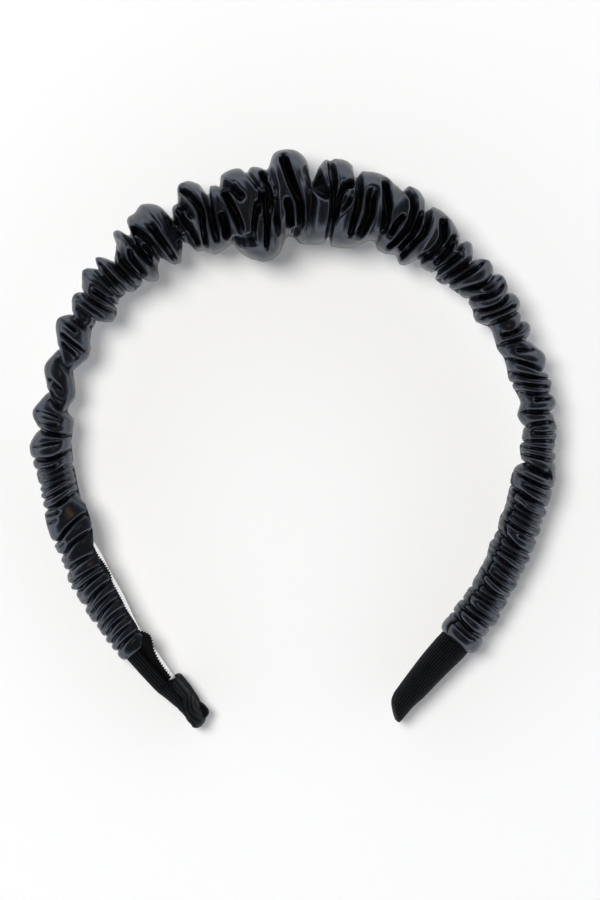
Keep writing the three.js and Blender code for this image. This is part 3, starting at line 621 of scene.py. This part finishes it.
def unbend(x, share):
    """Takes a share of the bend out of every run of three points, along the cloth and across it."""
    bend = ((x[:-2] + x[2:]) * 0.5 - x[1:-1]) * share[1:-1]
    x[1:-1] += bend * 0.5
    x[:-2] -= bend * 0.25
    x[2:] -= bend * 0.25
    bend = ((x[:, :-2] + x[:, 2:]) * 0.5 - x[:, 1:-1]) * share
    x[:, 1:-1] += bend * 0.5
    x[:, :-2] -= bend * 0.25
    x[:, 2:] -= bend * 0.25


def relaxed(start):
    """The gathered cloth let go: bends ease out of it, and it clears the band and the floor."""
    x = start.copy()
    base = ARC.axis_height(start[..., 0]).astype(np.float32)
    turn = np.radians(run(2, start[..., 0])).astype(np.float32)
    off = run(1, start[..., 0]).astype(np.float32)
    at_left = smoothstep(-start[..., 0], *ON_LEFT_RIBBON)
    at_ends = np.maximum(at_left, smoothstep(start[..., 0], *ON_RIGHT_RIBBON))
    half_n = (BAND_HALF_THICK + CLEAR_N + at_ends * RIBBON_CLEAR_N).astype(np.float32)
    half_z = (BAND_HALF_WIDTH + CLEAR_Z + at_ends * RIBBON_CLEAR_Z).astype(np.float32)
    lining = (LINING_CLEAR * (1 - at_ends)).astype(np.float32)
    at_crown = 1 - smoothstep(np.abs(start.mean(1)[:, 0]), *CROWN_EASE_ENDS)
    ease = (LEG_EASE + (CROWN_EASE - LEG_EASE) * at_crown).astype(np.float32)[:, None, None]
    for _ in range(CLOTH_STEPS):
        unbend(x, ease)
        # Clear of the band: out through the nearer face.
        dn = x[..., 1] - off
        dz = x[..., 2]
        hn = np.where(dn < 0, half_n + lining, half_n)
        rn, rz = np.abs(dn) / hn, np.abs(dz) / half_z
        inside = (rn < 1) & (rz < 1)
        by_n = inside & (rn >= rz)
        by_z = inside & (rn < rz)
        x[..., 1] = np.where(by_n, off + np.sign(dn) * hn, x[..., 1])
        x[..., 2] = np.where(by_z, np.sign(dz) * half_z, x[..., 2])
        # Clear of the floor.
        height = base + x[..., 2] * np.cos(turn) - x[..., 1] * np.sin(turn)
        x[..., 2] += np.maximum(0, FLOOR_CLEAR - height)
        x[:, 0], x[:, -1] = start[:, 0], start[:, -1]
        x[0], x[-1] = start[0], start[-1]
    return x


CLOTH = relaxed(START)
sleeve_points = place(CLOTH[..., 0], CLOTH[..., 1], CLOTH[..., 2])


def mesh_object(name, points, faces, weave):
    """A smooth-shaded mesh piece, with its own cloth coordinates in millimetres for its weave."""
    mesh = bpy.data.meshes.new(name)
    mesh.from_pydata(points.tolist(), [], faces)
    mesh.polygons.foreach_set("use_smooth", np.ones(len(faces), bool))
    attribute = mesh.attributes.new("weave", "FLOAT_VECTOR", "POINT")
    attribute.data.foreach_set("vector", weave.astype(np.float32).ravel())
    mesh.validate()
    obj = bpy.data.objects.new(name, mesh)
    bpy.context.collection.objects.link(obj)
    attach(obj, "root")
    return obj


def grid_quads(nu, nv, start=0):
    """The faces of a grid of points."""
    i, j = np.meshgrid(np.arange(nu - 1), np.arange(nv - 1), indexing="ij")
    a = (start + i * nv + j).ravel()
    return np.stack([a, a + nv, a + nv + 1, a + 1], 1)


def grid_rim(nu, nv):
    """The grid's border, once round."""
    left = np.arange(nu) * nv
    right = left + nv - 1
    last, first = (nu - 1) * nv + np.arange(1, nv), np.arange(nv - 1)[::-1]
    return np.concatenate([left, last, right[::-1][1:], first[:-1]])


def sheet_piece(name, points, weave):
    """One face of cloth on a grid of points."""
    nu, nv = points.shape[:2]
    return mesh_object(name, points.reshape(-1, 3), grid_quads(nu, nv).tolist(), weave.reshape(-1, 3))


def shell_piece(name, face, back, weave):
    """A closed wall between two grids of points."""
    nu, nv = face.shape[:2]
    count = nu * nv
    rim = grid_rim(nu, nv)
    after = np.roll(rim, -1)
    sides = np.stack([rim, rim + count, after + count, after], 1)
    quads = np.concatenate([grid_quads(nu, nv), grid_quads(nu, nv, count)[:, ::-1], sides])
    points = np.concatenate([face.reshape(-1, 3), back.reshape(-1, 3)])
    both = np.concatenate([weave.reshape(-1, 3)] * 2)
    return mesh_object(name, points, quads.tolist(), both)


sleeve_points[..., 2] = np.maximum(sleeve_points[..., 2], LEAST_HEIGHT * MM)
steps_along = np.linalg.norm(np.diff(CLOTH, axis=0), axis=-1).mean(1)
steps_round = np.linalg.norm(np.diff(CLOTH, axis=1), axis=-1).mean(0)
cloth_along = np.concatenate([[0], np.cumsum(steps_along)])
cloth_round = np.concatenate([[0], np.cumsum(steps_round)])
sleeve_weave = np.zeros_like(CLOTH)
sleeve_weave[..., 0] = cloth_along[:, None]
sleeve_weave[..., 1] = cloth_round[None]
sleeve = sheet_piece("sleeve_cloth", sleeve_points, sleeve_weave)
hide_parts("ruched_sleeve")


# The ribbon ends: along the arch, the section's reach outward and inward, its rise to each side, and half
# of the gap at its inside.
LEFT_WRAP = np.array([
    (-197.3, 0.8, -1.2, 2.6, 0.3),
    (-196.0, 1.1, -1.8, 2.8, 0.3),
    (-194.2, 1.1, -2.4, 3.2, 0.3),
    (-191.0, 0.8, -3.7, 3.7, 0.3),
    (-187.0, 1.3, -4.2, 4.2, 0.3),
    (-182.6, 2.3, -4.3, 4.5, 0.3),
    (-181.9, 2.4, -4.1, 4.5, 3.1),
    (-181.4, 2.5, -2.9, 4.5, 3.7),
    (-175.0, 3.0, -2.6, 4.4, 3.6),
    (-167.7, 3.3, -2.7, 4.2, 3.5),
])
RIGHT_WRAP = np.array([
    (163.4, 4.4, -4.4, 4.5, 0.3),
    (170.0, 4.3, -4.6, 4.5, 0.3),
    (177.0, 3.7, -4.5, 4.5, 0.3),
    (185.0, 2.8, -4.4, 4.4, 0.3),
    (189.0, 2.0, -4.3, 4.0, 0.3),
    (192.0, 1.8, -3.9, 3.5, 0.3),
    (193.9, 1.5, -3.2, 2.9, 0.3),
])
# The left end's folded-over strip: along the arch, and how far outward its edge lies on top.
LEFT_FOLD = np.array([
    (-197.5, -0.6), (-194.0, -0.5), (-192.0, -0.7), (-190.0, -1.6), (-188.0, -2.7), (-185.0, -2.8),
    (-181.6, -2.9),
])
FOLD_FROM = -181.5
FOLD_HEIGHT = 0.7
FOLD_EDGE = 0.12
FOLD_START = 0.35
FOLD_TOP = 0.3
RIB_PITCH = 0.72
RIB_HEIGHT = 0.3
RIB_POWER = 0.7
RIBBON_WALL = 0.5
WRAP_SQUARENESS = 0.8
WRAP_AROUND = 320
SECTION_POINTS = 1441
WRAP_STEP = 0.25
TIP_ROUND = 1.3
LEAST_SHRINK = 0.0004
# The right end's cut runs aslant: how much further it reaches on its outside than on its inside.
RIGHT_SLANT = 0.7
SLANT_LENGTH = 6


def even_section(outer, inner, rise, half_gap):
    """Points evenly spaced round one section, their outward normals, and their way round from the top."""
    middle, half = (outer + inner) / 2, (outer - inner) / 2
    first = math.pi - math.asin(min(1, half_gap / rise) ** (1 / WRAP_SQUARENESS))
    angle = first * np.linspace(1, -1, SECTION_POINTS)
    c, s = np.cos(angle), np.sin(angle)
    n = middle + half * np.sign(c) * np.abs(c) ** WRAP_SQUARENESS
    up = rise * np.sign(s) * np.abs(s) ** WRAP_SQUARENESS
    way = np.concatenate([[0], np.cumsum(np.hypot(np.diff(n), np.diff(up)))])
    even = np.linspace(0, way[-1], WRAP_AROUND)
    top = np.interp(-math.pi / 2, -angle, way)
    n, up = np.interp(even, way, n), np.interp(even, way, up)
    dn, du = np.gradient(n), np.gradient(up)
    size = np.hypot(dn, du) + 1e-9
    return n, up, -du / size, dn / size, even - top


def ribs(way):
    """The ribs' height along the way round, half of it below the ribbon's face."""
    return RIB_HEIGHT * (np.abs(np.cos(math.pi * way / RIB_PITCH)) ** RIB_POWER - 0.5)


def ribbon_end(name, rows, tip, slant, fold):
    """A ribbed ribbon wrapped round the band's end, as a thin closed wall."""
    low, high = rows[0, 0], rows[-1, 0]
    stations = np.linspace(low, high, int((high - low) / WRAP_STEP) + 1)
    faces, backs, weaves = [], [], []
    for along in stations:
        outer, inner, rise, half_gap = (np.interp(along, rows[:, 0], rows[:, k]) for k in range(1, 5))
        n, up, out_n, out_up, way = even_section(outer, inner, rise, half_gap)
        near = max(0.0, 1 - abs(tip - along) / TIP_ROUND)
        shrink = math.sqrt(max(LEAST_SHRINK, 1 - near ** 2))
        height = ribs(way)
        lines = way
        if fold is not None and along < FOLD_FROM:
            edge = np.interp(along, fold[:, 0], fold[:, 1])
            over = np.where(up > 0, edge - n, 1.0)
            folded = smoothstep(over, -FOLD_EDGE, FOLD_EDGE)
            starts = smoothstep(FOLD_FROM - along, 0.0, FOLD_START)
            height = height + folded * starts * FOLD_HEIGHT
            on_top = up > FOLD_TOP * rise
            strip = np.where(on_top, ribs(over + RIB_PITCH / 2), ribs(way))
            height = height + folded * starts * (strip - ribs(way))
            lines = np.where(on_top & (over > 0), over + RIB_PITCH / 2, way)
        middle = (outer + inner) / 2
        face_n = middle + (n - middle + out_n * height) * shrink
        face_up = (up + out_up * height) * shrink
        back_n = middle + (n - middle - out_n * RIBBON_WALL) * shrink
        back_up = (up - out_up * RIBBON_WALL) * shrink
        slanted = smoothstep(along, tip - math.copysign(SLANT_LENGTH, tip), tip)
        at = along + slant * (n - middle) * shrink * slanted
        faces.append(place(at, face_n, face_up))
        backs.append(place(at, back_n, back_up))
        weaves.append(np.stack([np.full_like(way, along), lines, 0 * way], 1))
    face, back = np.array(faces), np.array(backs)
    face[..., 2] = np.maximum(face[..., 2], LEAST_HEIGHT * MM)
    back[..., 2] = np.maximum(back[..., 2], (LEAST_HEIGHT + RIBBON_WALL) * MM)
    return shell_piece(name, face, back, np.array(weaves))


left_end = ribbon_end("ribbon_left", LEFT_WRAP, LEFT_WRAP[0, 0], 0, LEFT_FOLD)
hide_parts("end_wrap_left")
right_end = ribbon_end("ribbon_right", RIGHT_WRAP, RIGHT_WRAP[-1, 0], RIGHT_SLANT, None)
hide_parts("end_wrap_right")

# The ribbon's tail, a small lobe that stands out on the inside of the left tip.
TAIL_OUTLINE = np.array([
    (-189.5, -1.0), (-190.4, -3.6), (-192.0, -4.5), (-193.9, -4.8), (-195.3, -4.6), (-196.0, -3.8),
    (-196.2, -2.6), (-195.6, -1.0), (-193.0, -0.2),
])
TAIL_MIDDLE = (-192.8, -2.2)
TAIL_HALF_THICK = 0.8
TAIL_UP = -0.6
TAIL_POINTS = 12
TAIL_RINGS = 25
TAIL_TOP = 0.998
TAIL_ROUNDNESS = 5
# The tail's ribs run aslant, and fade out towards its rim.
TAIL_RIBS = (0.35, 0.9)
TAIL_RIBS_FADE = (0.5, 0.9)


def closed_curve(points, count):
    """A smooth closed curve through points."""
    return smooth_run(np.concatenate([points[-1:], points, points[:2]]), count)


def ribbon_tail():
    """The tail as a rounded lens with ribs on both faces."""
    border = closed_curve(TAIL_OUTLINE, TAIL_POINTS)
    middle = np.array(TAIL_MIDDLE)
    rings, ways = [], []
    for t in np.linspace(-TAIL_TOP, TAIL_TOP, TAIL_RINGS):
        size = math.sqrt(1 - abs(t) ** TAIL_ROUNDNESS)
        ring = middle + (border - middle) * size
        across = ring[:, 1] * TAIL_RIBS[1] + ring[:, 0] * TAIL_RIBS[0]
        lift = ribs(across) * np.sign(t) * smoothstep(abs(t), *TAIL_RIBS_FADE)
        rings.append(place(ring[:, 0], ring[:, 1], TAIL_UP + TAIL_HALF_THICK * t + lift))
        ways.append(np.stack([ring[:, 0], ring[:, 1], 0 * ring[:, 0]], 1))
    rings = np.array(rings)
    rings = np.concatenate([rings, rings[:, :1]], 1)
    ways = np.array(ways)
    ways = np.concatenate([ways, ways[:, :1]], 1)
    return sheet_piece("ribbon_tail", rings, ways)


tail = ribbon_tail()

# The pale lining along the band's inside face.
LINING_FROM, LINING_TO = -182.2, 161.0
LINING_HALF_WIDTH = 2.5
LINING_NEAR, LINING_FAR = 1.5, 2.1
LINING_STEP = 0.7
LINING_CORNER = 0.28
LINING_AROUND = 28
LINING_SQUARENESS = 1.6


def rounded_section(low_n, high_n, half_up):
    """A rectangle with round corners, outward and up, once round."""
    angle = np.linspace(0, 2 * math.pi, LINING_AROUND, endpoint=False)
    c, s = np.cos(angle), np.sin(angle)
    n = np.sign(c) * ((high_n - low_n) / 2 - LINING_CORNER) + c * LINING_CORNER + (high_n + low_n) / 2
    up = np.clip(s * LINING_SQUARENESS, -1, 1) * (half_up - LINING_CORNER) + s * LINING_CORNER
    return n, up


def strip_piece(name, start, stop, step, n, up):
    """A closed strip along the band's run with the given section."""
    stations = np.linspace(start, stop, int((stop - start) / step) + 1)
    off = run(1, stations)[:, None]
    around = len(n)
    along = np.repeat(stations[:, None], around, 1)
    points = place(along, off + n[None], np.repeat(up[None], len(stations), 0))
    points[..., 2] = np.maximum(points[..., 2], LEAST_HEIGHT * MM)
    way = np.repeat(up[None], len(stations), 0)
    weave = np.stack([along, way, 0 * way], -1)
    count = len(stations)
    ring = np.arange(around)
    quads = []
    for r in range(count - 1):
        a, b = r * around + ring, r * around + np.roll(ring, -1)
        quads.append(np.stack([a, b, b + around, a + around], 1))
    ends = [points[0].mean(0), points[-1].mean(0)]
    flat = np.concatenate([points.reshape(-1, 3), np.array(ends)])
    way_all = np.concatenate([weave.reshape(-1, 3), weave[0].mean(0)[None], weave[-1].mean(0)[None]])
    quads = np.concatenate(quads).tolist()
    first, last = count * around, count * around + 1
    for j in range(around):
        k = (j + 1) % around
        quads.append([first, k, j])
        quads.append([last, (count - 1) * around + j, (count - 1) * around + k])
    return mesh_object(name, flat, quads, way_all)


lining = strip_piece("pale_lining", LINING_FROM, LINING_TO, LINING_STEP,
                     *rounded_section(-LINING_FAR, -LINING_NEAR, LINING_HALF_WIDTH))
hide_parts("lining")

# The woven edge with its small teeth, where the ribbon laps over the lining on the left.
EDGE_FROM, EDGE_TO = -181.3, -131.0
EDGE_UP = 2.75
TOOTH_PITCH = 0.78
TOOTH_LENGTH = 0.5
EDGE_DROP = 0.6
TOOTH_POINTS = 6
# The edge's path from the band's top over its corner, outward and up, the foot where its lap begins, and
# the way from its face to its back.
EDGE_PATH = ((0.6, 0.5), (-1.2, 0.45), (-1.9, 0.3), (-2.25, -0.05))
EDGE_FOOT_IN, EDGE_FOOT_DOWN = 2.3, 0.1
EDGE_BACK = (0, 0.12, -0.18)
# How far the edge laps inward over the lining, along the arch.
EDGE_LAP = np.array([
    (-182, 0.2), (-177, 0.2), (-175, 0.3), (-172.5, 0.8), (-170.5, 1.6), (-168.5, 2.2), (-166.8, 1.6),
    (-165.3, 0.7), (-162, 0.5), (-156, 0.1), (-150, 0.2), (-146.5, 0.8), (-143.5, 0.6), (-141, 0.2),
    (-138, 0.1), (-131, 0.2),
])


def toothed_edge():
    """The edge as a thin wall, from the band's top over its corner to the teeth over the lining."""
    count = int((EDGE_TO - EDGE_FROM) / TOOTH_PITCH) * TOOTH_POINTS
    along = np.linspace(EDGE_FROM, EDGE_TO, count)
    tooth = np.abs((along / TOOTH_PITCH) % 1 - 0.5) * 2
    off = run(1, along)
    rows = [np.stack([along, off + n, np.full_like(along, EDGE_UP + up)], 1) for n, up in EDGE_PATH]
    lap = through(along, EDGE_LAP)
    for out in (0.5 * lap, lap, lap + TOOTH_LENGTH * tooth):
        up = EDGE_UP - EDGE_FOOT_DOWN - EDGE_DROP * out
        rows.append(np.stack([along, off - EDGE_FOOT_IN - out, up], 1))
    face = np.stack(rows, 1)
    back = face + np.array(EDGE_BACK)
    weave = np.stack([face[..., 0], face[..., 2], 0 * face[..., 0]], -1)
    return shell_piece("ribbon_edge", place(*face.transpose(2, 0, 1)), place(*back.transpose(2, 0, 1)), weave)


edge = toothed_edge()


# Materials.
def material(name, colour, roughness, **sockets):
    """A material, its node tree and its shader with the sockets set by name."""
    made = bpy.data.materials.new(name)
    made.use_nodes = True
    shader = made.node_tree.nodes["Principled BSDF"]
    shader.inputs["Base Color"].default_value = (*colour, 1)
    shader.inputs["Roughness"].default_value = roughness
    for socket, value in sockets.items():
        shader.inputs[socket.replace("_", " ")].default_value = value
    return made, made.node_tree, shader


def node(tree, kind, links=(), **values):
    """A node with its sockets set or linked by name."""
    made = tree.nodes.new(kind)
    for key, value in values.items():
        socket = key.replace("_", " ")
        if socket in made.inputs:
            made.inputs[socket].default_value = value
        else:
            setattr(made, key, value)
    for socket, source in links:
        tree.links.new(source, made.inputs[socket])
    return made


def mapped(tree, source, low, high):
    """A value between 0 and 1, brought between low and high."""
    return node(tree, "ShaderNodeMapRange", [("Value", source)], To_Min=low, To_Max=high).outputs["Result"]


def bumps(tree, shader, layers):
    """Bump layers, each a height, a strength and a distance in metres, one on another."""
    normal = None
    for height, strength, distance in layers:
        links = [("Height", height)]
        if normal is not None:
            links.append(("Normal", normal))
        normal = node(tree, "ShaderNodeBump", links, Strength=strength, Distance=distance).outputs["Normal"]
    tree.links.new(normal, shader.inputs["Normal"])


def noise(tree, scale, detail=3):
    """Noise in the object's own space."""
    where = node(tree, "ShaderNodeTexCoord").outputs["Object"]
    return node(tree, "ShaderNodeTexNoise", [("Vector", where)], Scale=scale, Detail=detail).outputs["Fac"]


def waves(tree, direction, **sockets):
    """Bands across one of the cloth's own coordinates."""
    weave = node(tree, "ShaderNodeAttribute", attribute_name="weave").outputs["Vector"]
    made = node(tree, "ShaderNodeTexWave", [("Vector", weave)], bands_direction=direction, **sockets)
    return made.outputs["Fac"]


def shade(tree, shader, factor, dark, light):
    """The base colour, between a dark and a light one."""
    made = node(tree, "ShaderNodeValToRGB", [("Fac", factor)])
    made.color_ramp.elements[0].color = (*dark, 1)
    made.color_ramp.elements[1].color = (*light, 1)
    tree.links.new(made.outputs["Color"], shader.inputs["Base Color"])


def leathercloth():
    """Black coated cloth, glossy, with a fine grain and pores."""
    made, tree, shader = material("leathercloth", (0.004, 0.0045, 0.006), 0.3, IOR=1.8,
                                  Specular_Tint=(0.78, 0.88, 1.0, 1))
    grain = noise(tree, 3200, 2)
    soft = noise(tree, 420)
    broad = noise(tree, 120, 2)
    where = node(tree, "ShaderNodeTexCoord").outputs["Object"]
    pores = node(tree, "ShaderNodeTexVoronoi", [("Vector", where)], Scale=2400).outputs["Distance"]
    shade(tree, shader, broad, (0.0022, 0.0024, 0.0034), (0.0075, 0.0082, 0.0105))
    tree.links.new(mapped(tree, soft, 0.26, 0.4), shader.inputs["Roughness"])
    bumps(tree, shader, [(broad, 0.25, 0.0006), (soft, 0.2, 0.00018), (pores, 0.12, 0.00006),
                         (grain, 0.1, 0.00005)])
    return made


def ribbon():
    """Black ribbed ribbon, with threads across its ribs."""
    made, tree, shader = material("ribbed_ribbon", (0.006, 0.006, 0.007), 0.6, IOR=1.3, Sheen_Weight=0.04,
                                  Sheen_Roughness=0.45, Sheen_Tint=(0.6, 0.66, 0.8, 1))
    threads = waves(tree, "X", Scale=1.15, Distortion=0.6)
    fuzz = noise(tree, 2600, 2)
    # One band of the wave to a rib: painted shade in its grooves and painted light on its ridge, lightest on
    # its ridge.
    one_rib = math.pi / (10 * RIB_PITCH)
    rib_painted_shade = waves(tree, "Y", Scale=one_rib, Phase_Offset=math.pi, Distortion=0.25)
    shade(tree, shader, rib_painted_shade, (0.0012, 0.0012, 0.0016), (0.016, 0.0165, 0.02))
    tree.links.new(mapped(tree, fuzz, 0.5, 0.75), shader.inputs["Roughness"])
    bumps(tree, shader, [(threads, 0.5, 0.00008), (fuzz, 0.3, 0.00006)])
    return made


def pale_cloth():
    """Pale woven cloth, a little uneven."""
    made, tree, shader = material("pale_cloth", (0.74, 0.73, 0.71), 0.7, Sheen_Weight=0.25,
                                  Sheen_Roughness=0.4)
    warp, weft = (waves(tree, direction, Scale=0.9) for direction in "XY")
    patch = noise(tree, 300)
    shade(tree, shader, patch, (0.66, 0.655, 0.64), (0.84, 0.835, 0.82))
    tree.links.new(mapped(tree, patch, 0.6, 0.8), shader.inputs["Roughness"])
    bumps(tree, shader, [(warp, 0.4, 0.0001), (weft, 0.4, 0.0001)])
    return made


def fuzzy(made, scale, dark, light, roughness, strength):
    """A new material made uneven by one fine noise."""
    made, tree, shader = made
    fuzz = noise(tree, scale)
    shade(tree, shader, fuzz, dark, light)
    tree.links.new(mapped(tree, fuzz, *roughness), shader.inputs["Roughness"])
    bumps(tree, shader, [(fuzz, strength, 0.0001)])
    return made


def band_cover():
    """The band's plain black cover."""
    made = material("band_cover", (0.008, 0.008, 0.009), 0.6)
    return fuzzy(made, 1800, (0.004, 0.004, 0.005), (0.012, 0.012, 0.013), (0.5, 0.7), 0.3)


def edge_thread():
    """The warm black thread of the woven edge."""
    made = material("edge_thread", (0.012, 0.01, 0.008), 0.65, IOR=1.3)
    return fuzzy(made, 2200, (0.0015, 0.0014, 0.0014), (0.011, 0.0085, 0.006), (0.5, 0.8), 0.4)


sleeve.data.materials.append(leathercloth())
ribbon_material = ribbon()
for piece in (left_end, right_end, tail):
    piece.data.materials.append(ribbon_material)
edge.data.materials.append(edge_thread())
lining.data.materials.append(pale_cloth())
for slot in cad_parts["band"].material_slots:
    slot.material = band_cover()

# Floor, light and camera.
bpy.ops.mesh.primitive_plane_add(size=4)
floor = bpy.context.object
floor.name = "floor"
white = material("floor", (0.91, 0.91, 0.91), 0.9, Emission_Color=(1, 1, 1, 1), Emission_Strength=0.12)[0]
floor.data.materials.append(white)

# The studio's light by height: bright low walls and a dark ceiling.
WALL_LIGHT = ((0.0, 1.0), (0.26, 0.9), (0.42, 0.22), (0.6, 0.04), (0.999, 0.025))
WALL_STRENGTH = 1.9
WALL_COLOUR = (0.86, 0.92, 1.0)
world = bpy.data.worlds.new("studio")
bpy.context.scene.world = world
bpy.context.scene.view_settings.view_transform = "Standard"
world.use_nodes = True
tree = world.node_tree
direction = node(tree, "ShaderNodeTexCoord").outputs["Generated"]
height = node(tree, "ShaderNodeSeparateXYZ", [("Vector", direction)]).outputs["Z"]
ramp = node(tree, "ShaderNodeValToRGB", [("Fac", height)])
for stop, share in WALL_LIGHT:
    element = ramp.color_ramp.elements.new(stop)
    element.color = (*(part * share for part in WALL_COLOUR), 1)
ramp.color_ramp.elements.remove(ramp.color_ramp.elements[0])
ramp.color_ramp.elements.remove(ramp.color_ramp.elements[-1])
tree.links.new(ramp.outputs[0], tree.nodes["Background"].inputs["Color"])
tree.nodes["Background"].inputs["Strength"].default_value = WALL_STRENGTH


def area_light(name, at, size, energy, colour):
    """A round light that faces the middle of the floor."""
    light = bpy.data.lights.new(name, "AREA")
    light.shape = "DISK"
    light.size = size
    light.energy = energy
    light.color = colour
    obj = bpy.data.objects.new(name, light)
    bpy.context.collection.objects.link(obj)
    obj.location = at
    obj.rotation_euler = (-Vector(at)).to_track_quat("-Z", "Y").to_euler()
    return obj


key = area_light("key", at=(-1.05, 0.6, 2.8), size=1.5, energy=71, colour=(1, 0.99, 0.97))
# The key makes the floor's soft shadow, and the object is lit by the walls and the floor.
floor_only = bpy.data.collections.new("floor_only")
floor_only.objects.link(floor)
key.light_linking.receiver_collection = floor_only
# The lining on the left faces away from the key and has a light of its own.
lining_only = bpy.data.collections.new("lining_only")
lining_only.objects.link(lining)
fill = area_light("fill", at=(1.0, 0.1, 0.7), size=0.8, energy=9, colour=(1, 0.97, 0.93))
fill.light_linking.receiver_collection = lining_only
area_light("glint", at=(-0.06, 0.2, 1.3), size=0.3, energy=0.5, colour=(1, 0.62, 0.3))

CAMERA_OVER = (0.0018, -0.0027)
CAMERA_DISTANCE = 1.0
PICTURE_HEIGHT = 900
PIXEL = 0.28 * MM
SENSOR = 36
camera = bpy.data.cameras.new("camera")
camera_object = bpy.data.objects.new("camera", camera)
bpy.context.collection.objects.link(camera_object)
camera.sensor_fit = "VERTICAL"
camera.sensor_height = SENSOR
camera.lens = SENSOR * CAMERA_DISTANCE / (PICTURE_HEIGHT * PIXEL)
camera_object.location = (*CAMERA_OVER, CAMERA_DISTANCE)
bpy.context.scene.camera = camera_object
